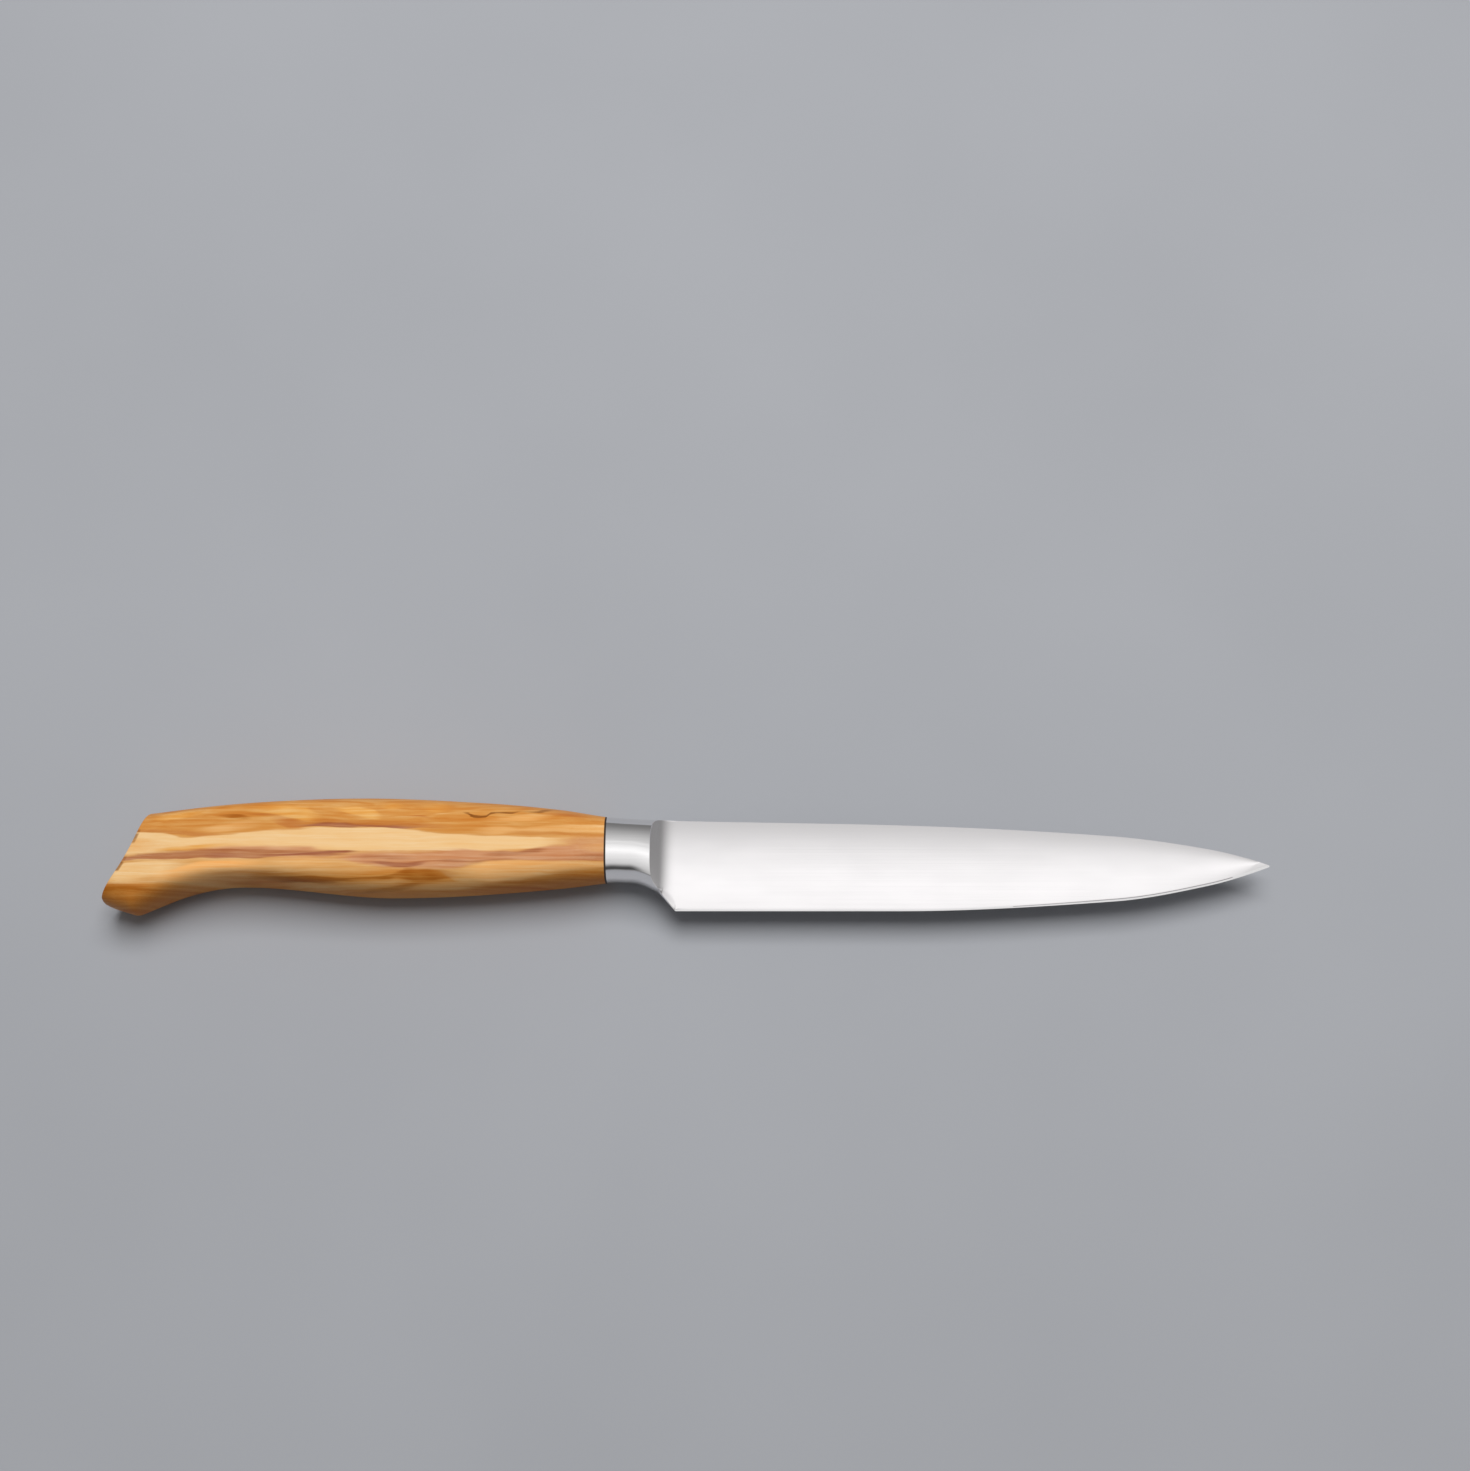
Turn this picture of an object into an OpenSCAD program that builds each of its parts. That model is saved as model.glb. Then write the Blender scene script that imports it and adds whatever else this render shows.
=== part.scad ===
// Kitchen knife with a forged steel blade and a hooked wooden handle.
// The knife lies flat on its side: +X runs to the tip, +Y to the spine, +Z up.
// Heights and distances are measured from the heel of the cutting edge. The whole knife is then
// moved so that the origin is under its middle, on the surface it lies on.

/* [Blade] */
// Length of the blade from heel to tip, along X
blade_len = 119.6; // [112:0.2:140]
// Height of the blade at the heel
heel_h = 18.4; // [18:0.1:20]
// Distance from the heel to where the edge stops being straight
mid_x = 45; // [35:1:60]
// Height of the spine at that place
mid_h = 17.5; // [16.6:0.1:17.8]
// Distance from the heel to where the blade narrows
fore_x = 88; // [75:1:92]
// Height of the spine where the blade narrows
fore_h = 15.25; // [14.4:0.05:16]
// Height of the edge where the blade narrows
fore_low = 2; // [1:0.1:3]
// Length of the pointed end of the blade
point_len = 12.6; // [8:0.2:16]
// Height of the spine where the pointed end begins
point_h = 12.65; // [12:0.05:14]
// Height of the edge where the pointed end begins
point_low = 5.2; // [4:0.1:6.5]
// Height of the tip above the heel
tip_h = 9.2; // [8:0.1:10.5]
// Height of the blunt end of the tip
tip_blunt = 0.3; // [0.2:0.05:0.6]
// Thickness of the spine at the heel
spine_t = 2.2; // [1.8:0.1:2.6]
// Thickness of the steel at the heel, where the ground edge begins
edge_t = 0.22; // [0.2:0.02:0.6]
// Thickness of the steel at the tip, before the edge is ground
tip_t = 1.1; // [0.7:0.05:1.3]
// Angle of the ground edge on each side
edge_angle = 22; // [16:1:26]
// Width of the cutting edge itself
edge_land = 0.04; // [0.02:0.01:0.1]
// Angle of the back of the heel to the line of the edge
choil_angle = 48; // [44:1:52]
// Length of the back of the heel, along X
choil_len = 3.6; // [3:0.1:4]

/* [Bolster] */
// Length from the handle to the heel of the blade
bolster_len = 13.8; // [13:0.1:18]
// Height of the top of the bolster at the handle
bolster_top = 19.05; // [18.8:0.05:20.5]
// Height of the top of the bolster halfway to the heel
bolster_mid = 18.6; // [18.5:0.05:18.8]
// Height of the underside of the bolster at the handle
bolster_low = 6; // [5:0.05:6.5]
// Thickness of the bolster
bolster_t = 13.2; // [11:0.1:14]
// Length of the level part of the underside of the bolster
level_len = 4.6; // [3:0.1:6]
// Radius of the hollow between bolster and blade
plunge_r = 6.05; // [6:0.05:8]
// Distance that the hollow runs onto the blade past the heel
plunge_x = 1; // [0.6:0.1:2]

/* [Tang] */
// Length of the tang behind the bolster
tang_len = 88; // [60:1:90]
// Height of the tang at the bolster
tang_h = 9.6; // [6:0.1:9.8]
// Height of the tang at its end
tang_end_h = 8; // [4:0.1:8.4]
// Thickness of the tang
tang_t = 4.6; // [2.5:0.1:5]
// Number of notches along each side of the tang
notch_count = 4; // [2:1:5]
// Radius of the notches
notch_r = 1.2; // [0.6:0.1:1.4]
// Distance from the end of the tang to the last notch
notch_end = 8; // [5:0.5:12]
// Distance between notches
notch_step = 11; // [6:0.5:11]

/* [Handle] */
// Distance from the bolster to the top corner of the butt
butt_len = 91.8; // [88:0.1:94]
// Height of the top corner of the butt
butt_top = 19.7; // [18:0.1:21]
// Distance from the bolster to the nose of the hook, the rear end of the knife
nose_len = 100.3; // [98.4:0.1:104]
// Height of the underside of the nose
nose_low = 1.4; // [1:0.05:2.4]
// Height of the blunt end of the nose
nose_blunt = 0.65; // [0.5:0.05:1.5]
// Depth of the hollow in the butt
butt_hollow = 1; // [0.5:0.1:1.6]
// Distance from the bolster to the top of the hump
hump_x = 47.2; // [40:0.2:56]
// Height of the top of the hump
hump_h = 22.8; // [22:0.1:25]
// Distance from the bolster to the shoulder in front of the hump
shoulder_x = 24.2; // [18:0.2:30]
// Height of the shoulder in front of the hump
shoulder_h = 21.85; // [21:0.05:21.9]
// Distance from the bolster to the belly
belly_x = 42.8; // [34:0.2:46]
// Height of the belly
belly_low = 3; // [1.5:0.05:4]
// Distance from the bolster to the waist behind the belly
waist_x = 73.8; // [60:0.2:76]
// Height of the waist
waist_low = 5.5; // [4.4:0.1:6]
// Distance from the bolster to the front of the hook
hook_front_x = 87.2; // [82:0.2:88]
// Height of the front of the hook
hook_front_low = 2.5; // [1.8:0.05:3]
// Slope of the front of the hook, in degrees
front_angle = 24; // [20:1:28]
// Distance from the bolster to the corner of the hook, its lowest point
hook_x = 94.2; // [91:0.2:94.6]
// Height of the corner of the hook
hook_low = -0.65; // [-1.2:0.05:-0.3]
// Length over which the corner of the hook is rounded on each side
hook_round = 0.7; // [0.4:0.1:1.2]
// Slope of the underside of the handle at the bolster, in degrees
joint_angle = 6.5; // [0:0.5:8]
// Thickness of the handle along the flat that it lies on
handle_t = 15.2; // [14.6:0.1:18]
// Thickness of the handle at the nose
nose_t = 12.4; // [10:0.1:14]
// Width of the flat along each side of the handle
flat_w = 5; // [3:0.1:6]
// Distance from the bolster to the front end of the flat
flat_front = 9; // [8:0.5:20]
// Distance from the bolster to the rear end of the flat
flat_rear = 80.5; // [70:0.5:82]
// Width of the flat at the bolster
joint_flat = 0.8; // [0.4:0.1:3]
// Roundness of the handle and bolster: 2 is an ellipse, more is squarer
roundness = 2.35; // [2:0.05:2.8]

/* [Joints] */
// Thickness of the liner between bolster and handle
liner_t = 0.35; // [0.3:0.05:1]
// Thickness of the adhesive around the tang
bed_t = 0.5; // [0.3:0.05:0.8]

/* [Detail] */
// Number of steps in each quarter of a section of the handle and bolster
quarter_steps = 14; // [8:1:16]
// Number of steps along the handle, from the bolster to the corner of the hook
handle_steps = 50; // [40:1:60]
// Number of steps from the corner of the hook to the nose
hook_steps = 10; // [6:1:14]
// Number of steps along the bolster
bolster_steps = 20; // [12:1:24]
// Number of steps along the blade
blade_steps = 60; // [40:1:80]

/* [Hidden] */
$fn = 96;

// Places along X
joint_x = -bolster_len;
wood_x = joint_x - liner_t;
tip_x = blade_len;
point_x = tip_x - point_len;
butt_x = joint_x - butt_len;
nose_x = joint_x - nose_len;
tang_x = joint_x - tang_len;

// Moves the knife so that the origin is under the middle of it
low_y = min(hook_low, 0);
place = [-(tip_x + nose_x) / 2, -(hump_h + low_y) / 2, handle_t / 2];

// How far a piece runs on inside another that it is joined to, or past one that it cuts
reach = 3;
// Small step that keeps two joined surfaces from lying almost in one another
step = 0.1;
// How far the hollow of the bolster is let into the flank of the blade
let_in = 0.02;
// Share of the height of the blade that the ground edge may take at the tip
tip_share = 0.7;

// Half thickness of the ground steel, which falls evenly from spine to edge and from heel to tip
flank_y = (spine_t - edge_t) / 2 / heel_h;
flank_x = ((tip_t - edge_t) / 2 - flank_y * tip_h) / blade_len;
function flank(x, y) = max(edge_land, edge_t / 2 + flank_x * x + flank_y * y);

// A smooth line through points [x, y] in order of x, with no crest or dip between them.
// A third number gives the slope at a point. Without one, a crest is level and the other
// points take a mean of the slopes on each side.
function gap(p, i) = p[i + 1][0] - p[i][0];
function rise(p, i) = (p[i + 1][1] - p[i][1]) / gap(p, i);
function mean_slope(a, b) = a * b <= 0 ? 0 : 2 * a * b / (a + b);
function end_slope(g, h, a, b) = ((2 * g + h) * a - g * b) / (g + h);
function slope(p, i) =
    let (n = len(p) - 1)
    len(p[i]) > 2 ? p[i][2] :
    i == 0 ? end_slope(gap(p, 0), gap(p, 1), rise(p, 0), rise(p, 1)) :
    i == n ? end_slope(gap(p, n - 1), gap(p, n - 2), rise(p, n - 1), rise(p, n - 2)) :
    mean_slope(rise(p, i - 1), rise(p, i));
function piece(p, x, i = 0) = i == len(p) - 2 || x < p[i + 1][0] ? i : piece(p, x, i + 1);
function cubic(a, b, u, v, t) =
    a * (1 + 2 * t) * pow(1 - t, 2) + b * t * t * (3 - 2 * t)
    + u * t * pow(1 - t, 2) - v * t * t * (1 - t);
function line_at(p, x) =
    let (i = piece(p, x))
    let (g = gap(p, i))
    cubic(p[i][1], p[i + 1][1], slope(p, i) * g, slope(p, i + 1) * g, (x - p[i][0]) / g);

// Outline of the blade. Behind the heel both lines run on into the bolster.
spine_line = [
    [joint_x, bolster_top],
    [joint_x / 2, bolster_mid],
    [0, heel_h],
    [mid_x, mid_h],
    [fore_x, fore_h],
    [point_x, point_h],
    [tip_x, tip_h + tip_blunt / 2]
];
edge_line = [
    [joint_x, 0, 0],
    [mid_x, 0, 0],
    [fore_x, fore_low],
    [point_x, point_low],
    [tip_x, tip_h - tip_blunt / 2]
];

// Outline of the forged bolster, which ends inside the blade where the hollow runs out
choil_h = choil_len * tan(choil_angle);
bolster_end = plunge_x - 3 * step;
bolster_end_low = 1;
bolster_top_line = [
    [joint_x, bolster_top],
    [joint_x / 2, bolster_mid],
    [-choil_len, line_at(spine_line, -choil_len) + step],
    [bolster_end, line_at(spine_line, bolster_end) - step]
];
bolster_low_line = [
    [joint_x, bolster_low],
    [joint_x + level_len, bolster_low + step],
    [-choil_len, choil_h + step],
    [bolster_end, bolster_end_low]
];

// Outline of the handle. Behind the top corner of the butt it falls by tail_drop and is cut off.
tail_drop = 1;
beak_slope = (nose_low - hook_low) / (nose_len - hook_x);
front_slope = tan(front_angle);
top_line = [
    [nose_x, butt_top - tail_drop],
    [butt_x, butt_top],
    [joint_x - hump_x, hump_h],
    [joint_x - shoulder_x, shoulder_h],
    [joint_x, bolster_top]
];
low_line = [
    [nose_x, nose_low],
    [joint_x - hook_x - hook_round, hook_low + hook_round * beak_slope / 2, -beak_slope],
    [joint_x - hook_x, hook_low, 0],
    [joint_x - hook_x + hook_round, hook_low + hook_round * front_slope / 2, front_slope],
    [joint_x - hook_front_x, hook_front_low, front_slope],
    [joint_x - waist_x, waist_low],
    [joint_x - belly_x, belly_low],
    [joint_x, bolster_low, tan(joint_angle)]
];
half_line = [
    [nose_x, nose_t / 2],
    [joint_x - flat_rear, handle_t / 2],
    [joint_x - flat_front, handle_t / 2],
    [joint_x, bolster_t / 2, 0]
];
flat_line = [
    [nose_x, flat_w / 2],
    [joint_x - flat_front, flat_w / 2],
    [joint_x, joint_flat / 2, 0]
];

// One section across the handle or bolster, as points [y, z]: two flats joined by rounded ends
function quarter(a, b, w) = [
    for (i = [0 : quarter_steps])
        let (t = 90 * i / quarter_steps)
        [w + (a - w) * pow(cos(t), 2 / roundness), b * pow(sin(t), 2 / roundness)]
];
function ring(top, low, b, w) =
    let (m = (top + low) / 2)
    let (k = quarter_steps)
    let (q = quarter((top - low) / 2, b, w))
    concat(
        [for (i = [0 : k]) [m + q[i][0], q[i][1]]],
        [for (i = [k : -1 : 0]) [m - q[i][0], q[i][1]]],
        [for (i = [1 : k]) [m - q[i][0], -q[i][1]]],
        [for (i = [k : -1 : 1]) [m + q[i][0], -q[i][1]]]
    );
function handle_ring(x) =
    ring(line_at(top_line, x), line_at(low_line, x), line_at(half_line, x), line_at(flat_line, x));
function bolster_ring(x) =
    ring(line_at(bolster_top_line, x), line_at(bolster_low_line, x), bolster_t / 2, joint_flat / 2);

// One section across the blade, as points [y, z]: spine, ground edge and cutting edge
function blade_ring(x) =
    let (top = line_at(spine_line, x))
    let (low = line_at(edge_line, x))
    let (g = tan(edge_angle))
    let (s = min(flank(x, top), (top - low) * g))
    let (e = min(flank(x, low) / (1 - flank_y / g), (top - low) * g * tip_share))
    [
        [top, s],
        [low + e / g, e],
        [low, edge_land / 2],
        [low, -edge_land / 2],
        [low + e / g, -e],
        [top, -s]
    ];

// A solid through rings of points, one ring at each place in xs, from rear to front
module loft(xs, rings) {
    n = len(rings[0]);
    m = len(xs);
    pts = [for (i = [0 : m - 1]) for (p = rings[i]) [xs[i], p[0], p[1]]];
    sides = [
        for (i = [0 : m - 2]) for (j = [0 : n - 1])
            let (k = (j + 1) % n)
            each [
                [i * n + j, (i + 1) * n + j, i * n + k],
                [i * n + k, (i + 1) * n + j, (i + 1) * n + k]
            ]
    ];
    rear = [for (j = [0 : n - 1]) j];
    front = [for (j = [n - 1 : -1 : 0]) (m - 1) * n + j];
    polyhedron(points = pts, faces = concat([rear], sides, [front]), convexity = 6);
}

module bolster_body() {
    xs = [for (i = [0 : bolster_steps]) joint_x + (bolster_end - joint_x) * i / bolster_steps];
    loft(xs, [for (x = xs) bolster_ring(x)]);
}

// Hollow ground between bolster and blade, along the flank of the blade
module plunge() {
    translate([plunge_x, 0, flank(plunge_x, 0) + plunge_r - let_in])
        rotate([atan(flank_y) - 90, 0, 0])
            translate([0, 0, -heel_h])
                cylinder(r = plunge_r, h = 3 * heel_h);
}

module bolster() {
    difference() {
        bolster_body();
        plunge();
        mirror([0, 0, 1]) plunge();
    }
}

// Back of the heel, and the end of the blade inside the bolster
module heel_cut() {
    far = 2 * bolster_len;
    inner = choil_len + reach / 2;
    linear_extrude(height = bolster_t, center = true)
        polygon([
            [0, 0],
            [-inner, inner * tan(choil_angle)],
            [-choil_len, heel_h + reach],
            [-far, heel_h + reach],
            [-far, -reach],
            [0, -reach]
        ]);
}

module ground_blade() {
    rear = -choil_len - reach;
    xs = [for (i = [0 : blade_steps]) rear + (tip_x - rear) * sin(90 * i / blade_steps)];
    difference() {
        loft(xs, [for (x = xs) blade_ring(x)]);
        heel_cut();
    }
}

// Middle line and half height of the tang at x
joint_y = (bolster_top + bolster_low) / 2;
function tang_half(x) = tang_h / 2 + (tang_end_h - tang_h) / 2 * (joint_x - x) / tang_len;

module tang() {
    difference() {
        linear_extrude(height = tang_t, center = true)
            polygon([
                [joint_x + reach, joint_y + tang_h / 2],
                [joint_x, joint_y + tang_h / 2],
                [tang_x, joint_y + tang_end_h / 2],
                [tang_x, joint_y - tang_end_h / 2],
                [joint_x, joint_y - tang_h / 2],
                [joint_x + reach, joint_y - tang_h / 2]
            ]);
        for (i = [0 : notch_count - 1], side = [-1, 1]) {
            x = tang_x + notch_end + i * notch_step;
            translate([x, joint_y + side * tang_half(x), 0])
                cylinder(r = notch_r, h = 2 * tang_t, center = true);
        }
    }
}

// Space for the tang and its adhesive, from x = front back to the end of the slot
module tang_slot(front) {
    linear_extrude(height = tang_t + 2 * bed_t, center = true)
        polygon([
            [front, joint_y + tang_half(front) + bed_t],
            [tang_x - bed_t, joint_y + tang_half(tang_x - bed_t) + bed_t],
            [tang_x - bed_t, joint_y - tang_half(tang_x - bed_t) - bed_t],
            [front, joint_y - tang_half(front) - bed_t]
        ]);
}

// Hollow of the butt, through its top corner and the top of the nose
module butt_cut() {
    nose_top = nose_low + nose_blunt;
    dx = butt_x - nose_x;
    dy = butt_top - nose_top;
    chord = norm([dx, dy]);
    r = (chord * chord / 4 + butt_hollow * butt_hollow) / (2 * butt_hollow);
    out = (r - butt_hollow) / chord;
    translate([(butt_x + nose_x) / 2 - dy * out, (butt_top + nose_top) / 2 + dx * out, 0])
        cylinder(r = r, h = 2 * handle_t, center = true, $fn = 4 * $fn);
}

module blade() {
    color("Silver") translate(place) union() {
        bolster();
        ground_blade();
        tang();
    }
}

module liner() {
    color("#2a2420") translate(place) difference() {
        loft([wood_x, joint_x], [handle_ring(wood_x), handle_ring(joint_x)]);
        tang_slot(joint_x + reach);
    }
}

module bedding() {
    color("#b8a060") translate(place) difference() {
        tang_slot(joint_x);
        tang();
    }
}

module handle() {
    corner = joint_x - hook_x;
    xs = concat(
        [for (i = [0 : hook_steps - 1]) nose_x + (corner - nose_x) * sin(90 * i / hook_steps)],
        [for (i = [0 : handle_steps]) corner + (wood_x - corner) * (1 - cos(90 * i / handle_steps))]
    );
    color("#c98f4e") translate(place) difference() {
        loft(xs, [for (x = xs) handle_ring(x)]);
        butt_cut();
        tang_slot(wood_x + reach);
    }
}

blade();
liner();
bedding();
handle();
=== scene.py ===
"""Looks of a kitchen knife with a forged steel blade and a hooked wooden handle.

The knife lies flat on its side: +X runs to the tip, +Y to the spine, +Z up. Shapes are worked out
in millimetres, with X and Y from the heel of the cutting edge and Z from the middle plane of the
blade, and are then set into the frame, which is in metres.
"""

import math

import bmesh
import bpy
import numpy as np
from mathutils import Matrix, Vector


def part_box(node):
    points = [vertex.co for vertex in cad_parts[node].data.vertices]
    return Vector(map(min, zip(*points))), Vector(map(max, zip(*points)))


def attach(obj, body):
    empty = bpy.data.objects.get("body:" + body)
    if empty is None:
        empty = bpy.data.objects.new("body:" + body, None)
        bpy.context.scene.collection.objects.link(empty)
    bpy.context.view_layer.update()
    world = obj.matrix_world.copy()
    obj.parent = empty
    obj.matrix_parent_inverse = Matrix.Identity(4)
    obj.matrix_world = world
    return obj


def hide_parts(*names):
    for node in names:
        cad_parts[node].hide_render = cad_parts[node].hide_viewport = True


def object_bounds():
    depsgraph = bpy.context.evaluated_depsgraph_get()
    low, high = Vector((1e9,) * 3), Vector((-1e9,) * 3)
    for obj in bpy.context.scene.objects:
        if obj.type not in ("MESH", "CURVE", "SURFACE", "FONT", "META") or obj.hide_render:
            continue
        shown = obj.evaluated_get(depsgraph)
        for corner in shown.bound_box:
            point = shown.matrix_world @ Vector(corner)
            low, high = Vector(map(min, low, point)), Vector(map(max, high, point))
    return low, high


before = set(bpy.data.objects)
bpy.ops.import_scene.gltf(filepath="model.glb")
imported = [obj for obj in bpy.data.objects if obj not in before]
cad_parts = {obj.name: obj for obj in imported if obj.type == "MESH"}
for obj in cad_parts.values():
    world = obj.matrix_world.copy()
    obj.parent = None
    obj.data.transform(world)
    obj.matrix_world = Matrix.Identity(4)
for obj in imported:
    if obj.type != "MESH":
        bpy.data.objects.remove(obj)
cad_low, cad_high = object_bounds()

MM = 0.001

# Blade, in millimetres and degrees, with shares and grades as plain numbers
BLADE_LEN = 119.6
HEEL_H = 18.4
MID_X, MID_H = 45.0, 17.5
FORE_X, FORE_H, FORE_LOW = 88.0, 15.25, 2.0
POINT_LEN, POINT_H, POINT_LOW = 12.6, 12.65, 5.2
TIP_H, TIP_BLUNT = 9.2, 0.3
SPINE_T, EDGE_T, TIP_T = 2.2, 0.22, 1.1
EDGE_ANGLE, EDGE_LAND, EDGE_W = 22.0, 0.04, 0.5
TIP_SHARE, TIP_GRADE = 0.6, 0.35
CHOIL_ANGLE, CHOIL_LEN = 48.0, 3.6
FLANK_CROWN = 0.44
SPINE_EASE, SPINE_CORNER = 0.12, 0.3
# Where the painted dark reflection along the shoulder of the ground edge begins and ends, in millimetres
# from the heel
PAINTED_REFLECTION_X, PAINTED_REFLECTION_END = 68.0, 112.0

# Strip at the back of the heel: its depth in millimetres and slope, and as shares where it is full,
# how it fades, how soft its border is and how much of the thickness it takes at most
CHOIL_EASE, CHOIL_LEVEL = 0.75, 0.05
CHOIL_FULL, CHOIL_FADE, CHOIL_SOFT, CHOIL_MOST = 0.2, 0.7, 0.1, 0.6

# Shares of the height between which the hollow leans back to the heel
LEAN_LOW, LEAN_HIGH = 0.02, 0.4

# Bolster, in millimetres, with the steepest slope of its hollow in degrees
BOLSTER_LEN, BOLSTER_T = 13.8, 13.2
BOLSTER_TOP, BOLSTER_MID, BOLSTER_LOW = 19.05, 18.6, 6.0
LEVEL_LEN = 4.6
PLUNGE_R, PLUNGE_X, PLUNGE_SLOPE = 6.05, 1.0, 44.5
CRISP = 0.07

# Tang, in millimetres
TANG_LEN, TANG_H, TANG_END_H, TANG_T = 88.0, 9.6, 8.0, 4.6
NOTCH_COUNT, NOTCH_R, NOTCH_END, NOTCH_STEP = 4, 1.2, 8.0, 11.0
BED_T = 0.5

# Handle, in millimetres and degrees, with distances from the bolster
BUTT_LEN, BUTT_TOP, BUTT_HOLLOW = 91.8, 19.7, 1.0
NOSE_LEN, NOSE_LOW, NOSE_BLUNT = 100.3, 1.4, 0.65
HUMP_X, HUMP_H = 47.2, (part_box("handle")[1].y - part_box("blade")[0].y) / MM
SHOULDER_X, SHOULDER_H = 24.2, 21.85
BELLY_X, BELLY_LOW = 42.8, 3.0
WAIST_X, WAIST_LOW = 73.8, 5.5
HOOK_FRONT_X, HOOK_FRONT_LOW, FRONT_ANGLE = 87.2, 2.5, 24.0
HOOK_X, HOOK_LOW, HOOK_ROUND = 94.2, -0.65, 0.7
JOINT_ANGLE = 6.5
HANDLE_T, NOSE_T = 15.2, 12.4
FLAT_W, FLAT_FRONT, FLAT_REAR = 5.0, 9.0, 80.5
JOINT_FLAT = 0.8
ROUNDNESS = 2.35
RIM_R = 0.2
NOSE_SOFT = 0.12
JOINT_EASE = 0.05

# Fineness of the meshes: steps along and round each form, places near the ends as shares of the
# length, tries until a line settles, and the angles in degrees above which an edge is sharp
GRIP_STEPS, HOOK_STEPS, ROUND_STEPS, FLAT_STEPS = 70, 46, 20, 8
RIM_STEPS, BUTT_STEPS, NOTCH_STEPS = 6, 10, 13
BOLSTER_STEPS, HOLLOW_STEPS, BLADE_STEPS = 22, 26, 150
HOLLOW_END = 0.015
HEEL_SHARES = (0, 0.001, 0.003)
RIM_BEHIND = 0.999
RING_TRIES, CRISP_TRIES = 60, 12
SHARP_WOOD, SHARP_STEEL = 35, 30
TINY = 1e-6

# Places along X, in millimetres from the heel
TIP_X = BLADE_LEN
JOINT_X = -BOLSTER_LEN
WOOD_X = JOINT_X - (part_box("liner")[1].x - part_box("liner")[0].x) / MM
BUTT_X = JOINT_X - BUTT_LEN
NOSE_X = JOINT_X - NOSE_LEN
TANG_X = JOINT_X - TANG_LEN

# Where the heel lies in the frame, in millimetres
HEEL = np.array([
    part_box("blade")[1].x / MM - BLADE_LEN,
    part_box("blade")[0].y / MM,
    (cad_low.z + cad_high.z) / 2 / MM,
])


def tan(degrees):
    return math.tan(math.radians(degrees))


def smooth_line(points):
    """A function y(x) through points (x, y) or (x, y, slope) with no crest or dip between them."""
    x = np.array([p[0] for p in points], float)
    y = np.array([p[1] for p in points], float)
    gap = np.diff(x)
    rise = np.diff(y) / gap
    slope = np.zeros(len(x))
    for i in range(1, len(x) - 1):
        if rise[i - 1] * rise[i] > 0:
            slope[i] = 2 * rise[i - 1] * rise[i] / (rise[i - 1] + rise[i])
    slope[0] = ((2 * gap[0] + gap[1]) * rise[0] - gap[0] * rise[1]) / (gap[0] + gap[1])
    slope[-1] = ((2 * gap[-1] + gap[-2]) * rise[-1] - gap[-1] * rise[-2]) / (gap[-1] + gap[-2])
    for i, point in enumerate(points):
        if len(point) > 2:
            slope[i] = point[2]

    def at(v):
        v = np.asarray(v, float)
        i = np.clip(np.searchsorted(x, v, side="right") - 1, 0, len(gap) - 1)
        t = (v - x[i]) / gap[i]
        ends = y[i] * (1 + 2 * t) * (1 - t) ** 2 + y[i + 1] * t * t * (3 - 2 * t)
        return ends + gap[i] * (slope[i] * t * (1 - t) ** 2 - slope[i + 1] * t * t * (1 - t))

    return at


def smoothstep(low, high, v):
    t = np.clip((v - low) / (high - low), 0, 1)
    return t * t * (3 - 2 * t)


# Outline of the blade and bolster
spine_line = smooth_line([
    (JOINT_X, BOLSTER_TOP),
    (JOINT_X / 2, BOLSTER_MID),
    (0, HEEL_H),
    (MID_X, MID_H),
    (FORE_X, FORE_H),
    (TIP_X - POINT_LEN, POINT_H),
    (TIP_X, TIP_H + TIP_BLUNT / 2),
])
edge_line = smooth_line([
    (JOINT_X, 0, 0),
    (MID_X, 0, 0),
    (FORE_X, FORE_LOW),
    (TIP_X - POINT_LEN, POINT_LOW),
    (TIP_X, TIP_H - TIP_BLUNT / 2),
])
bolster_low_line = smooth_line([
    (JOINT_X, BOLSTER_LOW),
    (JOINT_X + LEVEL_LEN, BOLSTER_LOW),
    (-CHOIL_LEN, CHOIL_LEN * tan(CHOIL_ANGLE)),
    (PLUNGE_X, 0),
])

# Outline of the handle. Behind the top corner of the butt it falls by TAIL_DROP and is cut off.
TAIL_DROP = 1.0
BEAK_SLOPE = (NOSE_LOW - HOOK_LOW) / (NOSE_LEN - HOOK_X)
FRONT_SLOPE = tan(FRONT_ANGLE)
CORNER_X = JOINT_X - HOOK_X
top_line = smooth_line([
    (NOSE_X, BUTT_TOP - TAIL_DROP),
    (BUTT_X, BUTT_TOP),
    (JOINT_X - HUMP_X, HUMP_H),
    (JOINT_X - SHOULDER_X, SHOULDER_H),
    (JOINT_X, BOLSTER_TOP),
])
low_line = smooth_line([
    (NOSE_X, NOSE_LOW),
    (CORNER_X - HOOK_ROUND, HOOK_LOW + HOOK_ROUND * BEAK_SLOPE / 2, -BEAK_SLOPE),
    (CORNER_X, HOOK_LOW, 0),
    (CORNER_X + HOOK_ROUND, HOOK_LOW + HOOK_ROUND * FRONT_SLOPE / 2, FRONT_SLOPE),
    (JOINT_X - HOOK_FRONT_X, HOOK_FRONT_LOW, FRONT_SLOPE),
    (JOINT_X - WAIST_X, WAIST_LOW),
    (JOINT_X - BELLY_X, BELLY_LOW),
    (JOINT_X, BOLSTER_LOW, tan(JOINT_ANGLE)),
])
half_line = smooth_line([
    (NOSE_X, NOSE_T / 2),
    (JOINT_X - FLAT_REAR, HANDLE_T / 2),
    (JOINT_X - FLAT_FRONT, HANDLE_T / 2),
    (JOINT_X, BOLSTER_T / 2, 0),
])
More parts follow.
